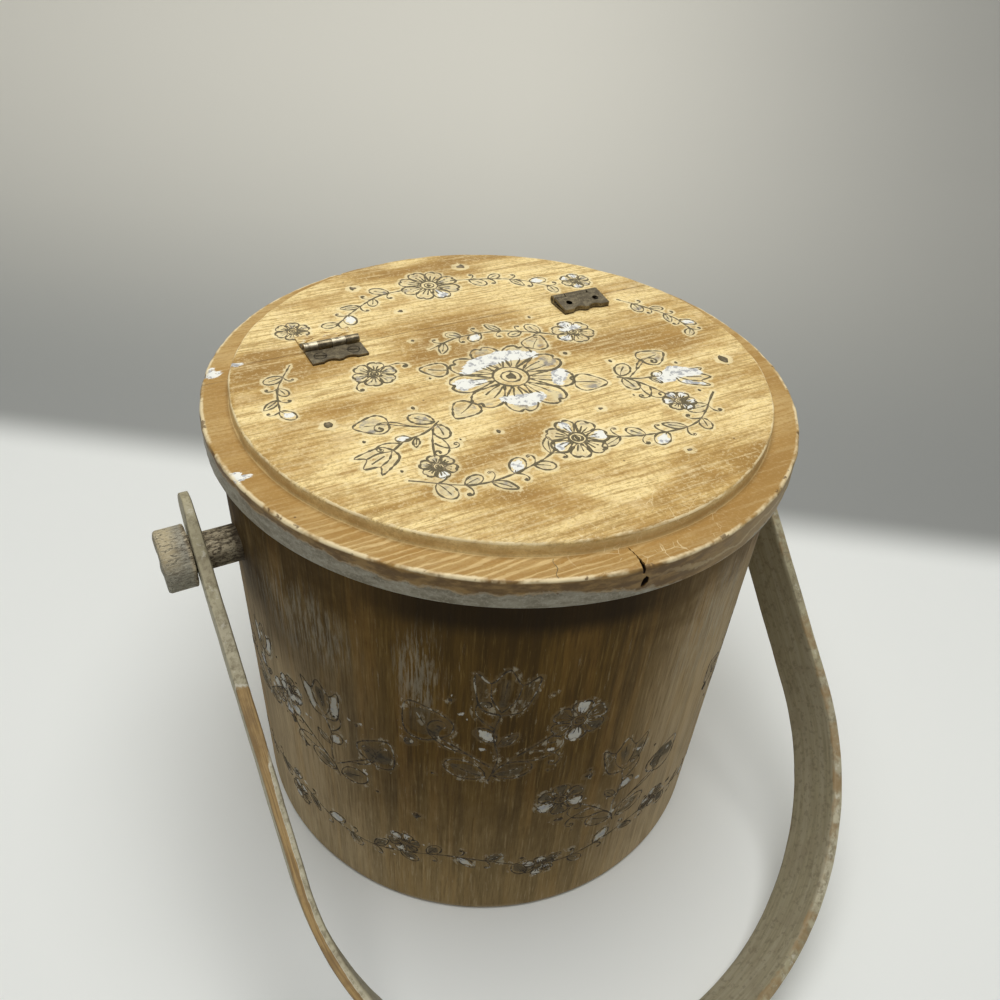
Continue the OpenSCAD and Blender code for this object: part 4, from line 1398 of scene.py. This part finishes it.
class FIRKIN_OT_stage(bpy.types.Operator):
    """Sets up the floor, the backdrop, the soft lamp and the camera"""
    bl_idname = "firkin.stage"
    bl_label = "Stage"

    def execute(self, context):
        scene = context.scene
        paper = Finish("paper")
        x, y, z = paper.axes()
        # the paper is painted with shade: darkest a little behind the firkin, lighter towards the top of the sweep,
        # and darker still towards one side
        beyond = x * 0.582 + y * 0.813
        cloud = paper.noise(3, 2)
        near = paper.mix(cloud, (0.84, 0.86, 0.835), (0.88, 0.9, 0.875))
        aside = x * 0.813 - y * 0.582
        wall = paper.mix(paper.span(beyond, 0.24, 1.05), (0.33, 0.338, 0.325), (0.87, 0.85, 0.76))
        wall = paper.mix(paper.span(aside, -0.12, 0.6) * 0.62, wall, (0.25, 0.256, 0.246))
        tone = paper.mix(paper.span(beyond, 0.185, 0.24), near, wall)
        paper.done(tone, 0.9, Specular_IOR_Level=0.2)
        profile = [(-2.5, 0.0), (0.55, 0.0)]
        profile += [(0.55 + 0.5 * math.sin(a), 0.5 - 0.5 * math.cos(a)) for a in (0.3, 0.6, 0.9, 1.2, 1.5)]
        profile += [(1.07, 0.9), (1.07, 3.0)]
        turn = Matrix.Rotation(math.radians(-30.9), 3, "Z")
        bm = bmesh.new()
        rows = [[bm.verts.new(turn @ Vector((x, y, z))) for x in (-3.0, 3.0)] for y, z in profile]
        for a, b in zip(rows[:-1], rows[1:]):
            bm.faces.new((a[0], a[1], b[1], b[0]))
        mesh = mesh_from(bm, "floor")
        floor = mesh_object("floor", mesh)
        shade(mesh, 60)
        mesh.materials.append(paper.material)
        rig.stage(floor)

        world = bpy.data.worlds.new("studio")
        world.use_nodes = True
        world.node_tree.nodes["Background"].inputs[0].default_value = (0.97, 0.985, 1.0, 1)
        world.node_tree.nodes["Background"].inputs[1].default_value = 0.22
        scene.world = world
        data = bpy.data.lights.new("overhead", "AREA")
        data.shape, data.size, data.energy, data.color = "DISK", 1.25, 19.0, (1.0, 0.99, 0.975)
        lamp = bpy.data.objects.new("overhead", data)
        lamp.location = (-0.02, -0.05, 1.60)
        lamp.rotation_euler = (Vector((0, 0, 0.12)) - lamp.location).to_track_quat("-Z", "Y").to_euler()
        scene.collection.objects.link(lamp)

        view = scene.firkin_camera
        data = bpy.data.cameras.new("camera")
        data.lens, data.sensor_width, data.sensor_fit = view.lens, 36, "HORIZONTAL"
        data.clip_start = 0.01
        camera = bpy.data.objects.new("camera", data)
        aim = Vector(view.aim).normalized()
        right = aim.cross(Vector(view.top)).normalized()
        up = right.cross(aim)
        turned = Matrix((right, up, -aim)).transposed().to_4x4()
        camera.matrix_world = Matrix.Translation(Vector(view.place)) @ turned
        scene.collection.objects.link(camera)
        scene.camera = camera
        scene.view_settings.view_transform = "Standard"
        return {"FINISHED"}


class FIRKIN_OT_lid(bpy.types.Operator):
    """Makes the lid's fixed rear segment and its flap, worn, split and painted"""
    bl_idname = "firkin.lid"
    bl_label = "Lid"

    def execute(self, context):
        shape = context.scene.firkin_shape
        sectors = 640
        closer = 0.00007
        flange_top = LID_TOP - shape.panel_rise
        for name, body, edge, side in (("lid_flap", "flap", FLAP_EDGE + closer, 1),
                                       ("lid_back", "bucket", BACK_EDGE - closer, -1)):
            points, faces = lathe(lid_profile(shape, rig.box(name)[0].z), sectors)
            mesh = bpy.data.meshes.new(name + "_worn")
            mesh.from_pydata(worn_lid(points, shape), [], faces)
            cut_away(mesh, (0, edge, 0), (0, side, 0))
            obj = mesh_object(name + "_worn", mesh)
            if name == "lid_flap":
                mesh = carved(obj, split_cutters())
            place = positions(mesh)
            top = np.nonzero(place[:, 2] > flange_top - 0.004)[0]
            canvas = Canvas(place[top, 0] / MM, place[top, 1] / MM)
            paint_lid(canvas)
            canvas.store(mesh, top)
            shade(mesh)
            mesh.materials.clear()
            mesh.materials.append(finish("lid_wood"))

            def lay(u, v):
                x, y = u * MM, v * MM
                radius = math.hypot(x, y)
                inside = (edge - y) * side > 0.0004
                on_panel = radius < shape.panel_radius - 0.002
                on_flange = radius > shape.panel_radius + 0.001
                if not inside or not (on_panel or on_flange) or radius > LID_RADIUS - 0.001:
                    return None
                return (x, y, LID_TOP if on_panel else flange_top), (0, 0, 1)

            lines = painted_lines(name + "_lines", canvas.kept_lines(paint_lid), lay, obj, 0.6, 0.55,
                                  "ink_line")
            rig.ride(lines, body)
            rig.slot(lines, "lid_wood")
            take_place(obj, body, "lid_wood", name)
        return {"FINISHED"}


class FIRKIN_OT_wall(bpy.types.Operator):
    """Makes the staves and paints the wall, and finishes the bottom board"""
    bl_idname = "firkin.wall"
    bl_label = "Wall"

    def execute(self, context):
        shape = context.scene.firkin_shape
        tree = stave_tree()
        span = math.tau / STAVE_COUNT
        pieces = []
        for i in range(STAVE_COUNT):
            name = f"stave_{i + 1:02d}"
            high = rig.box(name)[1]
            inputs = {"Radius": WALL_RADIUS, "Thickness": shape.stave_thickness, "Height": high.z,
                      "Span": span, "Turn": i * span, "Seat Radius": BOTTOM_RADIUS,
                      "Seat Height": BOTTOM_THICKNESS, "Foot Bevel": 0.0016,
                      "Waviness": shape.wall_waviness, "Material": finish("wall_wood"),
                      "Columns": round(span * WALL_RADIUS / shape.mesh_step * 1.35) + 1,
                      "Rows": round(high.z / shape.mesh_step * 1.35) + 1}
            obj = run_tree(name + "_worn", tree, inputs)
            if i in (0, STAVE_COUNT // 2):
                place = ((1 if i == 0 else -1) * WALL_RADIUS, 0, PEG_HEIGHT)
                carved(obj, [bore(place, SHANK_RADIUS, 0.05, 64)])
            pieces.append((name, obj))
        places, spots = [], []
        whole = bmesh.new()
        for name, obj in pieces:
            place = positions(obj.data)
            outside = np.nonzero(np.hypot(place[:, 0], place[:, 1]) > WALL_RADIUS - 0.002)[0]
            places.append(place[outside])
            spots.append(outside)
            whole.from_mesh(obj.data)
        every = np.concatenate(places)
        turn = np.arctan2(every[:, 1], every[:, 0])
        canvas = Canvas(turn * WALL_RADIUS / MM, every[:, 2] / MM)
        paint_wall(canvas)
        start = 0
        for (name, obj), outside in zip(pieces, spots):
            canvas.store(obj.data, outside, start)
            start += len(outside)
            shade(obj.data)
            take_place(obj, "bucket", "painted_wall", name)

        def lay(u, v):
            angle, z = u * MM / WALL_RADIUS, v * MM
            c, s = math.cos(angle), math.sin(angle)
            by_peg = math.hypot(s * WALL_RADIUS, z - PEG_HEIGHT) < KNOB_RADIUS
            if not 0.009 < z < WALL_TOP - 0.002 or by_peg:
                return None
            return (c * WALL_RADIUS, s * WALL_RADIUS, z), (c, s, 0)

        surface = mesh_object("skin", mesh_from(whole, "skin"))
        lines = painted_lines("wall_lines", canvas.kept_lines(paint_wall), lay, surface, 0.65, 0.9,
                              "wall_ink")
        bpy.data.objects.remove(surface)
        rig.ride(lines, "bucket")
        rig.slot(lines, "painted_wall")
        dress("bottom_board", finish("bare_board"))
        return {"FINISHED"}


def loop_path(size, step=0.0018):
    """The strip's middle line in its own plane: left arm, half circle, right arm."""
    s, c = math.sin(size.arm_spread), math.cos(size.arm_spread)
    radius, centre, end = size.loop_radius, size.loop_centre, size.strip_width / 2
    shift = (radius + centre * s) / c * math.sin(size.loop_lean)

    def arm(side):
        foot = -size.end_length - side * shift
        top = centre + radius * s
        heights = [foot + end * (1 - math.cos(a)) for a in flowed(0, math.pi / 2, 0.12)]
        heights += flowed(heights[-1], top, step)[1:]
        return [(side * (radius - (y - centre) * s) / c, y) for y in heights]

    left, right = arm(-1), arm(1)
    turn = math.pi - 2 * size.arm_spread
    count = round(turn * radius / step)
    arc = []
    for i in range(1, count):
        a = math.pi - size.arm_spread - turn * i / count
        arc.append((radius * math.cos(a), centre + radius * math.sin(a)))
    return left + arc + right[::-1]


class FIRKIN_OT_handle(bpy.types.Operator):
    """Makes the bent strip handle, flared, dented and bored for the pegs"""
    bl_idname = "firkin.handle"
    bl_label = "Handle"

    def execute(self, context):
        size = context.scene.firkin_handle
        path = loop_path(size)
        base = bpy.data.meshes.new("loop path")
        base.from_pydata([(x, y, 0) for x, y in path], [(i, i + 1) for i in range(len(path) - 1)], [])
        inputs = {"Width": size.strip_width, "Thickness": size.strip_thickness, "Flare": size.flare,
                  "Dents": 0.0006, "Material": finish("handle_finish")}
        obj = run_tree("handle_worn", strip_tree(), inputs, base)
        reach = size.loop_centre * math.cos(size.loop_lean) + size.loop_radius + size.strip_thickness / 2
        end = size.strip_width / 2
        tilt = math.asin(PEG_HEIGHT / math.hypot(reach, end)) - math.atan(end / reach)
        turn = Matrix.Rotation(math.pi + tilt, 4, "X") @ Matrix.Rotation(size.loop_lean, 4, "Z")
        obj.data.transform(Matrix.Translation((0, 0, PEG_HEIGHT)) @ turn)
        for vert in obj.data.vertices:
            vert.co.z = max(vert.co.z, 0.0)
        mesh = carved(obj, [bore((0, 0, PEG_HEIGHT), size.hole_radius, 0.4, 72)])
        shade(mesh, 50)
        take_place(obj, "bail", "handle_paint", "handle")
        return {"FINISHED"}


def peg_profile(size, back):
    """Half section of a peg along its axis, from the knob's outer face to the shank's inner end."""
    knob, shank, bevel = KNOB_RADIUS, size.shank_radius, 0.0014
    face = KNOB_OUTER
    profile = [(0, face)] + [(r, face) for r in flowed(0.0015, knob - bevel - 0.0006, 0.0015)]
    profile += [(knob - bevel, face - 0.0001), (knob - bevel * 0.5, face - bevel * 0.35),
                (knob, face - bevel)]
    profile += [(knob, z) for z in flowed(face - bevel - 0.001, back + 0.0017, 0.001)]
    profile += [(knob, back + 0.0007), (knob - 0.0003, back + 0.0002), (knob - 0.0008, back)]
    profile += [(r, back) for r in flowed(knob - 0.0020, shank + 0.0012, 0.0012)]
    profile += [(shank, z) for z in flowed(back, SHANK_INNER, 0.0012)]
    profile += [(r, SHANK_INNER) for r in flowed(shank - 0.002, 0.002, 0.002)]
    return profile + [(0, SHANK_INNER)]


class FIRKIN_OT_pegs(bpy.types.Operator):
    """Makes the two weathered pegs, their knobs worn out of round"""
    bl_idname = "firkin.pegs"
    bl_label = "Pegs"

    def execute(self, context):
        size = context.scene.firkin_handle
        for name, side in (("peg_left", -1), ("peg_right", 1)):
            inner = size.knob_inner - (0.0018 if side < 0 else 0)
            points, faces = lathe(peg_profile(size, inner), 96)
            worn = []
            for point in points:
                p = Vector(point)
                r = math.hypot(p.x, p.y)
                if p.z > WALL_RADIUS + 0.001:
                    seed = Vector((0, 0, side * 5.0))
                    lump = noise.noise(Vector((p.x * 90, p.y * 90, p.z * 30)) + seed)
                    fibre = noise.noise(Vector((p.x * 420, p.y * 420, p.z * 40)) + seed)
                    worn_edge = 0
                    if p.z > size.knob_inner - 0.0002:
                        worn_edge = max(0, (r - KNOB_RADIUS + 0.003) / 0.003)
                    loss = 0.00016 * (lump - 0.6) * (1 + worn_edge) + 0.00012 * (fibre - 0.5)
                    if r > 1e-6:
                        grow = 1 + min(0.0, loss) / max(r, 0.004)
                        p.x, p.y = p.x * grow, p.y * grow
                    if p.z > KNOB_OUTER - 0.0004:
                        p.z += 0.0005 * (noise.noise(Vector((p.x * 160, p.y * 160, side * 3.0))) - 0.7)
                worn.append(p)
            mesh = bpy.data.meshes.new(name + "_worn")
            mesh.from_pydata(worn, [], faces)
            place = Matrix.Translation((0, 0, PEG_HEIGHT)) @ Matrix.Rotation(side * math.pi / 2, 4, "Y")
            mesh.transform(place)
            shade(mesh, 32)
            mesh.materials.append(finish("weathered_wood"))
            take_place(mesh_object(name + "_worn", mesh), "bucket", "weathered_wood", name)
        return {"FINISHED"}


class FIRKIN_OT_hinges(bpy.types.Operator):
    """Finishes the hinges' leaves, pins and screws in worn dark brass"""
    bl_idname = "firkin.hinges"
    bl_label = "Hinges"

    def execute(self, context):
        for name in frame["nodes"]:
            if "hinge" in name:
                dress(name, finish("painted_leaf" if "left_hinge_rear" in name else "old_brass"))
        return {"FINISHED"}


class FIRKIN_PT_panel(bpy.types.Panel):
    """Lists the firkin's pieces"""
    bl_idname = "FIRKIN_PT_panel"
    bl_label = "Wooden Firkin"
    bl_space_type = "VIEW_3D"
    bl_region_type = "UI"
    bl_category = "Firkin"

    def draw(self, context):
        scene = context.scene
        for step in STEPS:
            self.layout.operator(step.bl_idname)
        for group in (scene.firkin_shape, scene.firkin_handle, scene.firkin_colours, scene.firkin_camera):
            box = self.layout.box()
            for key in group.__annotations__:
                box.prop(group, key)


STEPS = (FIRKIN_OT_stage, FIRKIN_OT_lid, FIRKIN_OT_wall, FIRKIN_OT_handle, FIRKIN_OT_pegs, FIRKIN_OT_hinges)
GROUPS = {"firkin_shape": FirkinShape, "firkin_handle": FirkinHandle, "firkin_colours": FirkinColours,
          "firkin_camera": FirkinCamera}


def register():
    for cls in (*GROUPS.values(), *STEPS, FIRKIN_PT_panel):
        bpy.utils.register_class(cls)
    for name, cls in GROUPS.items():
        setattr(bpy.types.Scene, name, PointerProperty(type=cls))


def unregister():
    for name in GROUPS:
        delattr(bpy.types.Scene, name)
    for cls in (FIRKIN_PT_panel, *reversed(STEPS), *reversed(GROUPS.values())):
        bpy.utils.unregister_class(cls)


def main():
    register()
    for step in STEPS:
        area, name = step.bl_idname.split(".")
        getattr(getattr(bpy.ops, area), name)()
    boxes = {"cad": [list(corner) for corner in CAD_BOX],
             "visual": [list(corner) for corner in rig.bounds()]}
    with open("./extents.json", "w") as file:
        json.dump(boxes, file)


if __name__ == "__main__":
    main()
